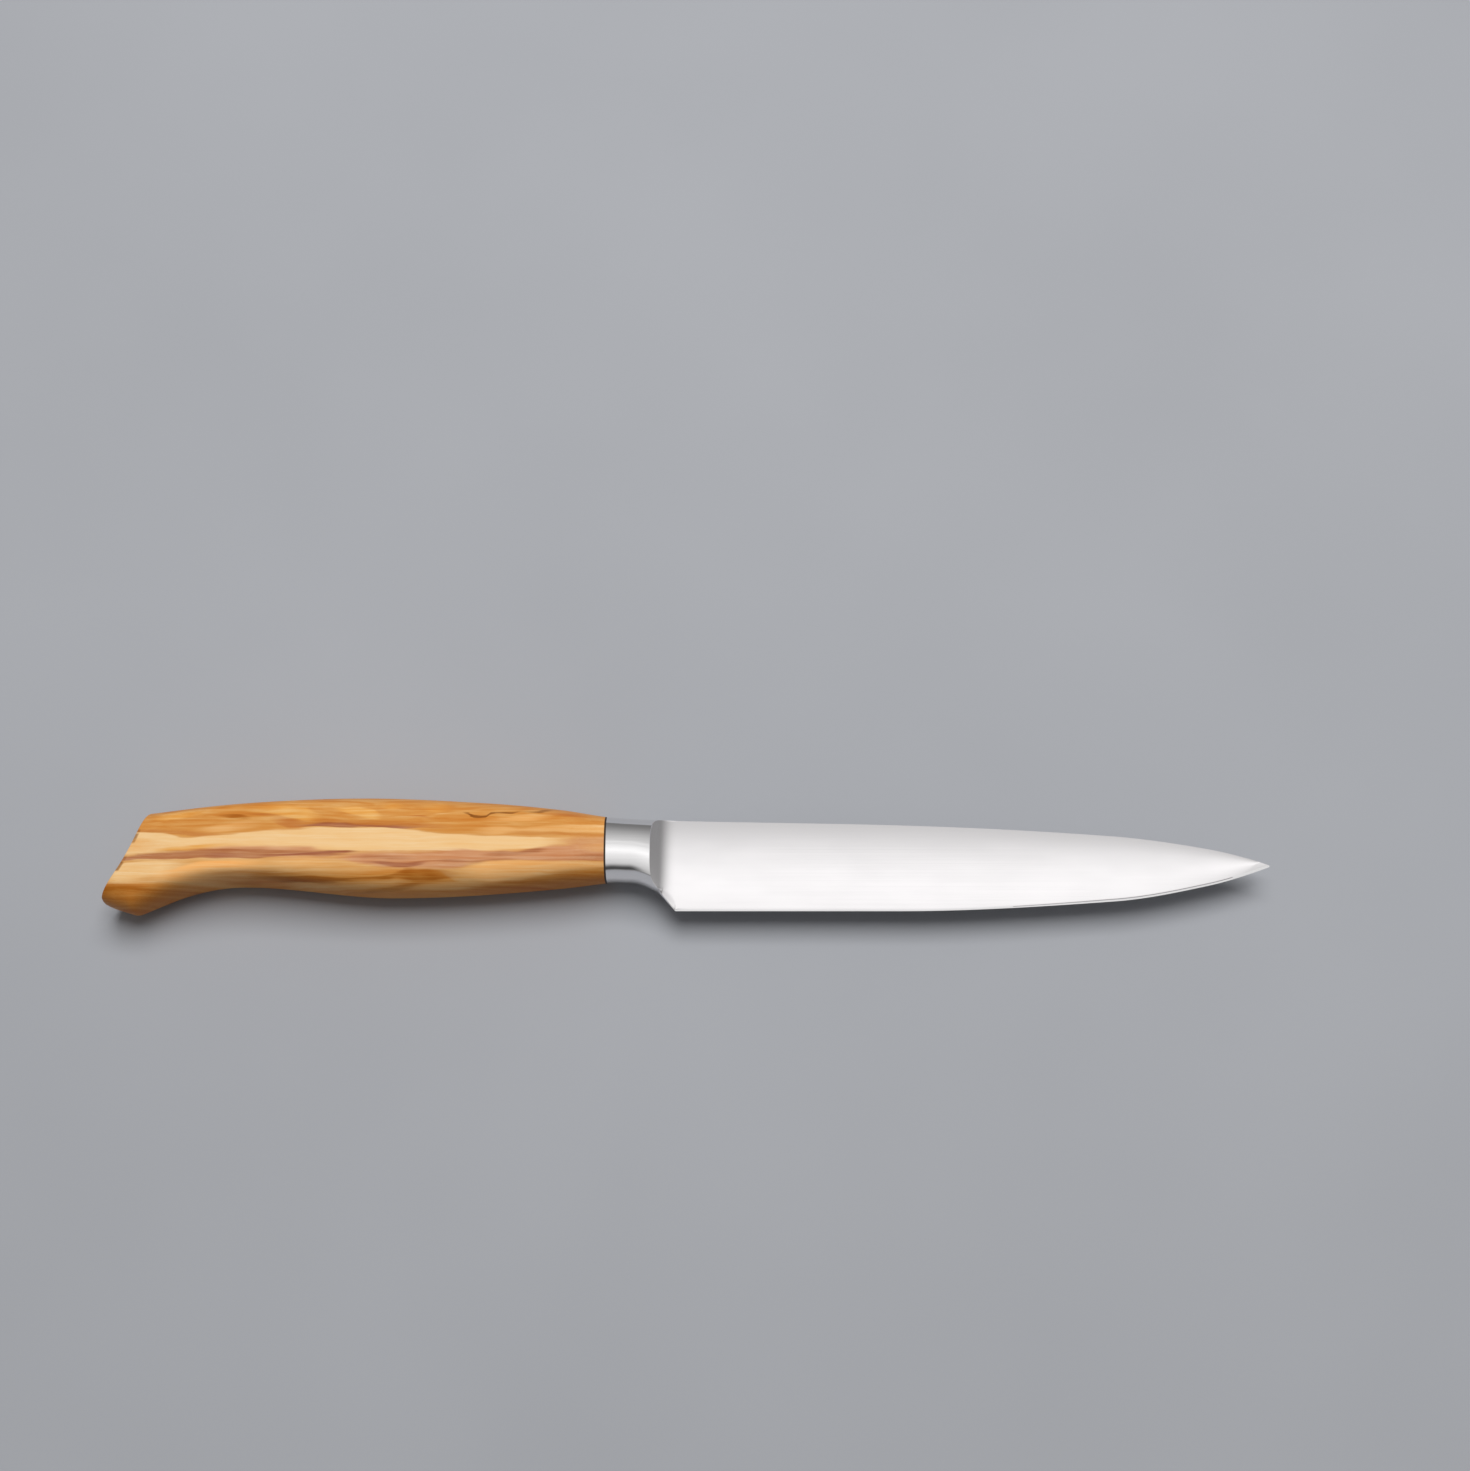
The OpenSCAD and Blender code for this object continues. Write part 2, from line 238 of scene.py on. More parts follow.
flat_line = smooth_line([
    (NOSE_X, FLAT_W / 2),
    (JOINT_X - FLAT_FRONT, FLAT_W / 2),
    (JOINT_X, JOINT_FLAT / 2, 0),
])


def half_section(low_angles, flat_steps, top_angles):
    """One side of a rounded section from its underside to its top, as three rows of shares.

    A point is at y = middle + flat * share + (half height - flat) * bow and z = half thickness * lift.
    """
    low = np.radians(low_angles)
    top = np.radians(top_angles)
    power = 2 / ROUNDNESS
    flat = np.linspace(-1, 1, flat_steps + 1)[1:-1]
    share = np.concatenate([-np.ones(len(low)), flat, np.ones(len(top))])
    bow = np.concatenate([-np.cos(low) ** power, np.zeros(len(flat)), np.cos(top) ** power])
    lift = np.concatenate([np.sin(low) ** power, np.ones(len(flat)), np.sin(top) ** power])
    bow[np.abs(bow) < TINY] = 0
    return share, bow, lift


def both_sides(half):
    """Closed rings of points from half rings (..., point, xyz) whose first and last points have z = 0."""
    other = half[..., -2:0:-1, :] * np.array([1, 1, -1])
    return np.concatenate([half, other], axis=-2)


def ring_quads(rings, count, first=0):
    """Faces between neighbouring closed rings of count points, numbered from first."""
    return [
        (
            first + i * count + j,
            first + i * count + (j + 1) % count,
            first + (i + 1) * count + (j + 1) % count,
            first + (i + 1) * count + j,
        )
        for i in range(rings - 1)
        for j in range(count)
    ]


def across(ring, half_count, steps):
    """Rows of points that close a ring from one side of the knife to the other, without its rim."""
    one = ring[1:half_count - 1]
    other = ring[:half_count - 1:-1]
    return [one + (other - one) * i / steps for i in range(1, steps)]


def close_end(points, faces, start, half_count, steps):
    """Closes the ring of points that begins at start with faces across the knife."""
    ring = np.array(points[start:start + 2 * half_count - 2])
    count = len(ring)
    rows = [[start + j for j in range(1, half_count - 1)]]
    for row in across(ring, half_count, steps):
        rows.append(list(range(len(points), len(points) + len(row))))
        points.extend(row)
    rows.append([start + count - j for j in range(1, half_count - 1)])
    for a, b in zip(rows[:-1], rows[1:]):
        faces.append((start, a[0], b[0]))
        faces.extend((a[j], a[j + 1], b[j + 1], b[j]) for j in range(len(a) - 1))
        faces.append((a[-1], start + half_count - 1, b[-1]))


def loop_edges(bm, verts):
    """Edges round a closed loop of vertices, made where there are none."""
    pairs = zip(verts, verts[1:] + verts[:1])
    return [bm.edges.get(pair) or bm.edges.new(pair) for pair in pairs]


def add_walls(bm, front, outline, half):
    """Walls and end of a flat pocket or tang behind a loop of four corners.

    outline holds points (x, y) along the far edges, from below the first corner to above the last.
    """
    upper = [bm.verts.new(((p[0], p[1], half) + HEEL) * MM) for p in outline]
    lower = [bm.verts.new(((p[0], p[1], -half) + HEEL) * MM) for p in outline]
    up = [front[0], *upper, front[1]]
    down = [front[3], *lower, front[2]]
    made = [bm.faces.new(up), bm.faces.new(down[::-1])]
    for i in range(len(up) - 1):
        made.append(bm.faces.new((up[i], down[i], down[i + 1], up[i + 1])))
    return made


def end_with_slot(bm, ring, x, half_low, half_high, half):
    """Flat end of a piece at x with a rectangular loop in it, for the tang. Returns the loop."""
    middle = (BOLSTER_TOP + BOLSTER_LOW) / 2
    corners = [(-half_low, half), (half_high, half), (half_high, -half), (-half_low, -half)]
    loop = [bm.verts.new((np.array([x, middle + y, z]) + HEEL) * MM) for y, z in corners]
    edges = loop_edges(bm, ring) + loop_edges(bm, loop)
    bmesh.ops.triangle_fill(bm, edges=edges, use_beauty=True, normal=(-1, 0, 0))
    return loop


def tang_half(x):
    """Half height of the tang at x."""
    return (TANG_H + (TANG_END_H - TANG_H) * (JOINT_X - x) / TANG_LEN) / 2


def new_bmesh(points, faces):
    bm = bmesh.new()
    placed = (np.array(points) + HEEL) * MM
    verts = [bm.verts.new(p) for p in placed]
    for face in faces:
        bm.faces.new([verts[i] for i in face])
    return bm, verts


def new_piece(name, bm, materials):
    """Turns a mesh into a smooth piece of the knife that rides on its one body."""
    bmesh.ops.recalc_face_normals(bm, faces=bm.faces[:])
    if bm.calc_volume(signed=True) < 0:
        bmesh.ops.reverse_faces(bm, faces=bm.faces[:])
    mesh = bpy.data.meshes.new(name)
    bm.to_mesh(mesh)
    bm.free()
    for material in materials:
        mesh.materials.append(material)
    piece = bpy.data.objects.new(name, mesh)
    bpy.context.scene.collection.objects.link(piece)
    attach(piece, "root")
    return piece


# Handle

def butt_arc():
    """Centre and radius of the hollow of the butt, in the side view."""
    nose_top = NOSE_LOW + NOSE_BLUNT
    run = np.array([BUTT_X - NOSE_X, BUTT_TOP - nose_top])
    chord = np.hypot(*run)
    radius = (chord ** 2 / 4 + BUTT_HOLLOW ** 2) / (2 * BUTT_HOLLOW)
    out = np.array([-run[1], run[0]]) * (radius - BUTT_HOLLOW) / chord
    return np.array([(BUTT_X + NOSE_X) / 2, (BUTT_TOP + nose_top) / 2]) + out, radius


def butt_line(y):
    """X of the butt at height y: the hollow, and below it the blunt nose, with a soft corner."""
    centre, radius = butt_arc()
    arc = centre[0] + np.sqrt(radius ** 2 - (y - centre[1]) ** 2)
    return (arc + NOSE_X + np.sqrt((arc - NOSE_X) ** 2 + NOSE_SOFT ** 2)) / 2


def handle_ring(share, section):
    """Half ring of points on the side of the handle. Rings lean more and more towards the butt.

    share is 0 at the bolster and 1 at the butt.
    """
    flat_share, bow, lift = section
    x = np.full(len(lift), WOOD_X + (BUTT_X - WOOD_X) * share)
    for _ in range(RING_TRIES):
        top, low, flat = top_line(x), low_line(x), flat_line(x)
        y = (top + low) / 2 + flat * flat_share + ((top - low) / 2 - flat) * bow
        x = WOOD_X + (butt_line(y) - WOOD_X) * share
    return np.stack([x, y, half_line(x) * lift], axis=-1)


def ring_normals(ring, behind):
    """Outward normals of a surface along a closed ring, from the ring behind it."""
    along = np.roll(ring, -1, axis=0) - np.roll(ring, 1, axis=0)
    normal = np.cross(along, ring - behind)
    normal /= np.linalg.norm(normal, axis=1, keepdims=True)
    outward = np.sum(normal * (ring - ring.mean(axis=0)), axis=1)
    return normal * np.sign(outward)[:, None]


def rim_rings(ring, behind, steps):
    """Rings that round the rim between the side of the handle and its butt."""
    side = ring_normals(ring, behind)
    nudge = 0.01
    lean = (butt_line(ring[:, 1] + nudge) - butt_line(ring[:, 1] - nudge)) / (2 * nudge)
    butt = np.stack([-np.ones(len(ring)), lean, np.zeros(len(ring))], axis=-1)
    butt /= np.linalg.norm(butt, axis=1, keepdims=True)
    cosine = np.sum(side * butt, axis=1, keepdims=True)
    middle = ring - RIM_R * (side + butt) / (1 + cosine)
    angle = np.arccos(cosine)
    turns = np.linspace(0, 1, steps + 1)
    return [
        middle + RIM_R * (side * np.sin((1 - t) * angle) + butt * np.sin(t * angle)) / np.sin(angle)
        for t in turns
    ]


def make_handle(material):
    angles = np.linspace(0, 90, ROUND_STEPS)
    section = half_section(angles, FLAT_STEPS, angles[::-1])
    half_count = len(section[0])
    hook_x = JOINT_X - HOOK_FRONT_X
    end_x = NOSE_X + 3 * RIM_R
    grip = np.linspace(WOOD_X, hook_x, GRIP_STEPS)[:-1]
    places = np.concatenate([grip, np.linspace(hook_x, end_x, HOOK_STEPS)])
    shares = (places - WOOD_X) / (NOSE_X - WOOD_X)
    rings = [both_sides(handle_ring(share, section)) for share in shares]
    rim = both_sides(handle_ring(1.0, section))
    rings += rim_rings(rim, both_sides(handle_ring(RIM_BEHIND, section)), RIM_STEPS)
    front = rings[0].copy()
    shrink = 1 - JOINT_EASE / (BOLSTER_T / 2)
    front[:, 1] = (front[:, 1] - front[:, 1].mean()) * shrink + front[:, 1].mean()
    front[:, 2] *= shrink
    rings[0] = rings[0] - np.array([JOINT_EASE, 0, 0])
    rings.insert(0, front)
    count = len(front)
    points = list(np.concatenate(rings))
    faces = ring_quads(len(rings), count)
    close_end(points, faces, count * (len(rings) - 1), half_count, BUTT_STEPS)
    bm, verts = new_bmesh(points, faces)
    slot_half = TANG_T / 2 + BED_T
    slot_h = tang_half(WOOD_X) + BED_T
    slot_loop = end_with_slot(bm, verts[:count], WOOD_X, slot_h, slot_h, slot_half)
    rear = TANG_X - BED_T
    middle = (BOLSTER_TOP + BOLSTER_LOW) / 2
    end_h = tang_half(rear) + BED_T
    add_walls(bm, slot_loop, [(rear, middle - end_h), (rear, middle + end_h)], slot_half)
    for face in bm.faces:
        face.smooth = True
    sharpen_above(bm, SHARP_WOOD)
    piece = new_piece("wooden_handle", bm, [material])
    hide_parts("handle")
    return piece


def sharpen_above(bm, degrees):
    """Marks the edges that turn by more than this angle as sharp."""
    limit = math.radians(degrees)
    for edge in bm.edges:
        edge.smooth = len(edge.link_faces) == 2 and edge.calc_face_angle(0) < limit


# Blade, bolster and tang

def flank(x, y):
    """Half thickness of the ground steel, which falls evenly from spine to edge and to the tip."""
    slope_y = (SPINE_T - EDGE_T) / 2 / HEEL_H
    slope_x = ((TIP_T - EDGE_T) / 2 - slope_y * TIP_H) / BLADE_LEN
    return np.maximum(EDGE_LAND, EDGE_T / 2 + slope_x * x + slope_y * y)


def hollow(x):
    """Rise of the hollow between blade and bolster above the flank of the blade.

    It is an arc that runs on straight where it has become as steep as the slope that is ground.
    """
    back = np.clip(PLUNGE_X - x, 0, None)
    straight = PLUNGE_R * math.sin(math.radians(PLUNGE_SLOPE))
    arc = np.minimum(back, straight)
    return PLUNGE_R - np.sqrt(PLUNGE_R ** 2 - arc ** 2) + (back - arc) * tan(PLUNGE_SLOPE)


def shoulder(x):
    """Height above the heel and half thickness of the steel where the ground edge begins."""
    low = edge_line(x)
    height = spine_line(x) - low
    grade = tan(EDGE_ANGLE)
    slope_y = (SPINE_T - EDGE_T) / 2 / HEEL_H
    half = np.minimum(flank(x, low) / (1 - slope_y / grade), height * grade * TIP_SHARE)
    half = np.minimum(half, EDGE_W * grade)
    return low + half / grade, half


class SteelRows:
    """Rows of points across one side of the steel, from the edge or underside to the spine or top."""

    low_steps = 6
    top_steps = 4
    flat_steps = 6

    # Degrees from the lower and the upper corner to the rows beside them, and the rows of each side
    low_gaps, low_start, low_rows = (8, 11), 15, 14
    top_gaps, top_start, top_rows = (2, 0.8), 6, 16

    # Millimetres less than half the height of the heel, for the section that spaces the rows
    inset = 2.0

    # Least height of the hollow in millimetres, and the share of its radius that it reaches at most
    least_lift, most_lift = 0.02, 0.99

    def __init__(self):
        choil_lift = flank(0, 0) + hollow(-CHOIL_LEN)
        low_end = self.angle_at(choil_lift)
        top_end = self.angle_at(flank(0, HEEL_H))
        low_strip = np.linspace(0, low_end, self.low_steps + 1)
        low_near = [low_end + gap for gap in self.low_gaps]
        low_side = np.linspace(low_end + self.low_start, 90, self.low_rows)
        top_side = np.linspace(90, top_end + self.top_start, self.top_rows)
        top_near = [top_end + gap for gap in self.top_gaps]
        top_strip = np.linspace(top_end, 0, self.top_steps)
        low_angles = np.concatenate([low_strip, low_near, low_side])
        top_angles = np.concatenate([top_side, top_near, top_strip])
        self.section = half_section(low_angles, self.flat_steps, top_angles)
        self.count = len(self.section[0])
        self.corner = self.low_steps
        self.top_corner = self.count - self.top_steps
        height = self.section[0] * JOINT_FLAT / 2 + self.section[1] * (HEEL_H / 2 - self.inset)
        inner = slice(self.corner, self.top_corner + 1)
        share = np.zeros(self.count)
        share[inner] = (height[inner] - height[self.corner]) / np.ptp(height[inner])
        share[self.top_corner:] = 1
        self.share = share

    @staticmethod
    def angle_at(lift):
        """Angle on the rounded section of the bolster at which it has this half thickness."""
        return math.degrees(math.asin((lift / (BOLSTER_T / 2)) ** (ROUNDNESS / 2)))

    def bolster(self, x):
        """Points on the bolster at x, one for each row."""
        share, bow, lift = self.section
        top, low = spine_line(x), bolster_low_line(x)
        y = (top + low) / 2 + share * JOINT_FLAT / 2 + ((top - low) / 2 - JOINT_FLAT / 2) * bow
        return np.stack([x, y, BOLSTER_T / 2 * lift], axis=-1)

    def blade(self, x):
        """Points on the blade at x, one for each row."""
        corner_y, corner_z = shoulder(x)
        low, top = edge_line(x), spine_line(x)
        spine_z = np.minimum(flank(x, top), corner_z + TIP_GRADE * (top - corner_y)) + hollow(x)
        ease = np.minimum(SPINE_EASE, spine_z / 3)
        y = corner_y + (top - corner_y) * self.share
        crown = FLANK_CROWN * 4 * self.share * (1 - self.share) * (top - low) / HEEL_H
        thinned = (flank(x, corner_y) - corner_z) * (1 - self.share) ** 3
        z = np.maximum(corner_z, flank(x, y) - thinned)
        z = np.minimum(z, corner_z + TIP_GRADE * (y - corner_y)) + crown + hollow(x)
        rows = np.arange(self.count)
        edge = rows < self.corner
        ground = rows / self.corner
        y = np.where(edge, low + (corner_y - low) * ground, y)
        z = np.where(edge, corner_z * ground, z)
        strip = (rows - self.top_corner - 1) / (self.top_steps - 2)
        y = np.where(rows == self.top_corner - 1, top - ease, y)
        y = np.where(rows == self.top_corner, top - SPINE_CORNER * ease, y)
        z = np.where(rows == self.top_corner, spine_z - SPINE_CORNER * ease, z)
        z = np.where(rows > self.top_corner, (spine_z - ease) * (1 - strip), z)
        return np.stack([x, y, z], axis=-1)

    def heel_line(self):
        """X of each row where the hollow has run out, which leans back to the heel at the edge."""
        return PLUNGE_X * smoothstep(LEAN_LOW, LEAN_HIGH, self.share)

    def crisp_line(self):
        """X of each row where the rounded bolster meets the hollow."""
        x = np.full(self.count, -CHOIL_LEN)
        start = self.heel_line()
        for _ in range(CRISP_TRIES):
            base = self.blade(start)[:, 2] - hollow(start)
            lift = np.clip(self.bolster(x)[:, 2] - base, self.least_lift, PLUNGE_R * self.most_lift)
            x = PLUNGE_X - np.sqrt(PLUNGE_R ** 2 - (PLUNGE_R - lift) ** 2)
        x[:self.corner + 1] = x[self.corner]
        return x


def choil_cut(ring, start, end):
    """Steel taken off at the corner between the back of the heel and the hollow, for each point.

    start and end are the ends of that corner. What is left is a strip that is nearly level.
    """
    run = (end - start)[:2]
    length = np.hypot(*run)
    away = ring[:, :2] - start[:2]
    along = np.clip(away @ run / length ** 2, 0, 1)
    inward = (away[:, 1] * run[0] - away[:, 0] * run[1]) / length
    back = PLUNGE_X - (start[0] + along * run[0])
    slope = CHOIL_LEVEL - run[1] / length * back / np.sqrt(PLUNGE_R ** 2 - back ** 2)
    depth = CHOIL_EASE * np.minimum(1, along / CHOIL_FULL) * (1 - along) ** CHOIL_FADE
    over = depth - slope * inward
    soft = CHOIL_SOFT * depth
    most = CHOIL_MOST * np.maximum(ring[:, 2], 0)
    return np.clip((over + np.sqrt(over ** 2 + soft ** 2)) / 2, 0, most)


def steel_rings():
    """Closed rings of points along the bolster and blade, and the number of them on the bolster."""
    rows = SteelRows()
    crisp = rows.crisp_line()
    heel = rows.heel_line()
    rings = []

    ease = CRISP / (crisp - JOINT_X)
    for t in np.linspace(0, 1, BOLSTER_STEPS)[:-1]:
        rings.append(rows.bolster(JOINT_X + (crisp - JOINT_X) * t * (1 - ease)))
    rings.append(rows.bolster(crisp - CRISP))
    start = rows.bolster(crisp)
    rings.append(start)
    bolster_count = len(rings)

    end = rows.blade(heel)
    angle_0 = np.arcsin(np.clip((PLUNGE_X - crisp) / PLUNGE_R, 0, 1))
    angle_1 = np.arcsin((PLUNGE_X - heel) / PLUNGE_R)
    base = end[:, 2] - hollow(heel)
    for t in [HOLLOW_END, *np.linspace(0, 1, HOLLOW_STEPS)[1:-1], 1 - HOLLOW_END]:
        x = PLUNGE_X - PLUNGE_R * np.sin(angle_0 + (angle_1 - angle_0) * t)
        s = (x - crisp) / (heel - crisp)
        ring = start + (end - start) * s[:, None]
        surface = base + hollow(x)
        main = slice(rows.corner + 1, rows.top_corner)
        ring[main, 2] = surface[main]
        corner_base = start[rows.corner, 2] - hollow(crisp[rows.corner])
        corner_base += (base[rows.corner] - corner_base) * s[rows.corner]
        ring[rows.corner, 2] = corner_base + hollow(x[rows.corner])
        ring[:, 2] -= choil_cut(ring, start[rows.corner], end[rows.corner])
        low = slice(0, rows.corner + 1)
        ring[low, 2] = ring[rows.corner, 2] * np.arange(rows.corner + 1) / rows.corner
        rings.append(ring)

    for t in [*HEEL_SHARES, *np.sin(np.pi / 2 * np.linspace(0, 1, BLADE_STEPS)[1:])]:
        rings.append(rows.blade(heel + (TIP_X - heel) * t))
    return rows, [both_sides(ring) for ring in rings], bolster_count


def tang_outline():
    """Points round the tang behind the bolster, from below to above, with its notches."""
    middle = (BOLSTER_TOP + BOLSTER_LOW) / 2
    side = []
    for i in reversed(range(NOTCH_COUNT)):
        x = TANG_X + NOTCH_END + i * NOTCH_STEP
        for angle in np.linspace(0, np.pi, NOTCH_STEPS):
            px = x + NOTCH_R * np.cos(angle)
            side.append((px, tang_half(px if angle in (0, np.pi) else x) - NOTCH_R * np.sin(angle)))
    side.append((TANG_X, tang_half(TANG_X)))
    low = [(x, middle - y) for x, y in side]
    return low + [(x, middle + y) for x, y in reversed(side)]


def make_steel(polished, satin, edge, forged, painted_reflection):
    rows, rings, bolster_count = steel_rings()
    count = len(rings[0])
    points = list(np.concatenate(rings))
    faces = ring_quads(len(rings), count)
    close_end(points, faces, count * (len(rings) - 1), rows.count, 1)
    bm, verts = new_bmesh(points, faces)
    bm.faces.ensure_lookup_table()
    edge_rows = set(range(rows.corner)) | {count - 1 - j for j in range(rows.corner)}
    # Rows just below the shoulder of the ground edge, which get a painted dark reflection towards the tip
    painted_reflection_rows = {rows.corner - 2, rows.corner - 1, count - rows.corner, count - rows.corner + 1}
    for i, face in enumerate(bm.faces):
        column, row = divmod(i, count)
        face.material_index = 0 if column < bolster_count - 1 else 1
        if column >= bolster_count + HOLLOW_STEPS - 1 and row in edge_rows:
            face.material_index = 2
            if row in painted_reflection_rows and PAINTED_REFLECTION_X < face.calc_center_median().x / MM - HEEL[0] < PAINTED_REFLECTION_END:
                face.material_index = 4
        face.smooth = True
    loop = end_with_slot(bm, verts[:count], JOINT_X, TANG_H / 2, TANG_H / 2, TANG_T / 2)
    for face in add_walls(bm, loop, tang_outline(), TANG_T / 2):
        face.material_index = 3
    sharpen_above(bm, SHARP_STEEL)
    piece = new_piece("forged_blade", bm, [polished, satin, edge, forged, painted_reflection])
    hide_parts("blade")
    return piece


# Materials

def colour(red, green, blue):
    """Linear colour from screen values of 0 to 255."""
    def linear(v):
        v /= 255
        return v / 12.92 if v <= 0.04045 else ((v + 0.055) / 1.055) ** 2.4
    return (linear(red), linear(green), linear(blue), 1.0)


class Nodes:
    """A node tree, with short ways to add and join nodes."""

    def __init__(self, tree):
        self.tree = tree
        tree.nodes.clear()

    def add(self, kind, inputs=None, **settings):
        made = self.tree.nodes.new("ShaderNode" + kind)
        for key, value in settings.items():
            setattr(made, key, value)
        for key, value in (inputs or {}).items():
            self.put(made.inputs[key], value)
        return made

    def put(self, socket, value):
        """Joins another node's output to a socket, or sets the socket's own value."""
        if isinstance(value, bpy.types.NodeSocket):
            self.tree.links.new(value, socket)
        else:
            socket.default_value = value

    def span(self, value, low, high, to_low=0.0, to_high=1.0, smooth=True):
        """Maps a value from one span to another, held at both ends."""
        kind = "SMOOTHSTEP" if smooth else "LINEAR"
        made = self.add("MapRange", {
            "Value": value, "From Min": low, "From Max": high, "To Min": to_low, "To Max": to_high,
        }, interpolation_type=kind)
        return made.outputs[0]

    def window(self, value, low, high, soft):
        """1 between two limits and 0 outside them, with soft borders inside the limits."""
        return self.math("MULTIPLY", self.span(value, low, low + soft), self.span(value, high, high - soft))

    def math(self, operation, a, b=0.0):
        return self.add("Math", {0: a, 1: b}, operation=operation).outputs[0]

    def mix(self, share, a, b, kind="RGBA"):
        made = self.add("Mix", data_type=kind)
        for key, value in (("Factor", share), ("A", a), ("B", b)):
            socket = [s for s in made.inputs if s.name == key and s.enabled][0]
            self.put(socket, value)
        return [s for s in made.outputs if s.enabled][0]

    def ramp(self, value, stops, kind="LINEAR"):
        """Colours along a value, as pairs of a place and a colour."""
        made = self.add("ValToRGB", {"Fac": value})
        made.color_ramp.interpolation = kind
        elements = made.color_ramp.elements
        while len(elements) > 1:
            elements.remove(elements[-1])
        for i, (where, shade) in enumerate(stops):
            element = elements[0] if i == 0 else elements.new(where)
            element.position = where
            element.color = shade
        return made.outputs["Color"]


class Shader(Nodes):
    """A material with one principled surface."""

    def __init__(self, name):
        self.material = bpy.data.materials.new(name)
        self.material.use_nodes = True
        super().__init__(self.material.node_tree)
        self.surface = self.add("BsdfPrincipled")
        self.add("OutputMaterial", {"Surface": self.surface.outputs[0]})

    def set(self, key, value):
        self.put(self.surface.inputs[key], value)

    def place(self):
        """Coordinates in millimetres from the heel."""
        found = self.add("TexCoord").outputs["Object"]
        scaled = self.add("VectorMath", {0: found, 1: (1 / MM,) * 3}, operation="MULTIPLY")
        moved = self.add("VectorMath", {0: scaled.outputs[0], 1: tuple(HEEL)}, operation="SUBTRACT")
        return moved.outputs[0]

    def noise(self, place, size, detail=3.0, roughness=0.5, distortion=0.0):
        """Noise from 0 to 1 whose features have this size along X, Y and Z, in millimetres."""
        scale = tuple(1 / s for s in size)
        scaled = self.add("VectorMath", {0: place, 1: scale}, operation="MULTIPLY")
        return self.add("TexNoise", {
            "Vector": scaled.outputs[0], "Scale": 1.0, "Detail": detail,
            "Roughness": roughness, "Distortion": distortion,
        }).outputs["Fac"]

    def sway(self, place, size, reach):
        """Moves a place across the grain by noise of this size, times reach."""
        wave = self.math("SUBTRACT", self.noise(place, size, detail=1.0), 0.5)
        shift = self.add("CombineXYZ", {1: self.math("MULTIPLY", wave, reach)})
        return self.add("VectorMath", {0: place, 1: shift.outputs[0]}, operation="ADD").outputs[0]

    def bump(self, height, distance, strength=1.0):
        made = self.add("Bump", {"Height": height, "Distance": distance, "Strength": strength})
        self.set("Normal", made.outputs[0])


# Colours of the wood
CREAM = colour(241, 199, 142)
STRAW = colour(232, 175, 108)
GOLD = colour(230, 167, 88)
TAN = colour(212, 162, 102)
ORANGE = colour(212, 146, 74)
RUST = colour(196, 124, 62)
MAUVE = colour(207, 146, 103)
RUSSET = colour(180, 119, 80)
BARK = colour(160, 94, 64)
BROWN = colour(212, 140, 62)
HONEY = colour(246, 184, 114)
UMBER = colour(165, 92, 18)
COCOA = colour(196, 122, 46)
CRACK = colour(124, 68, 22)

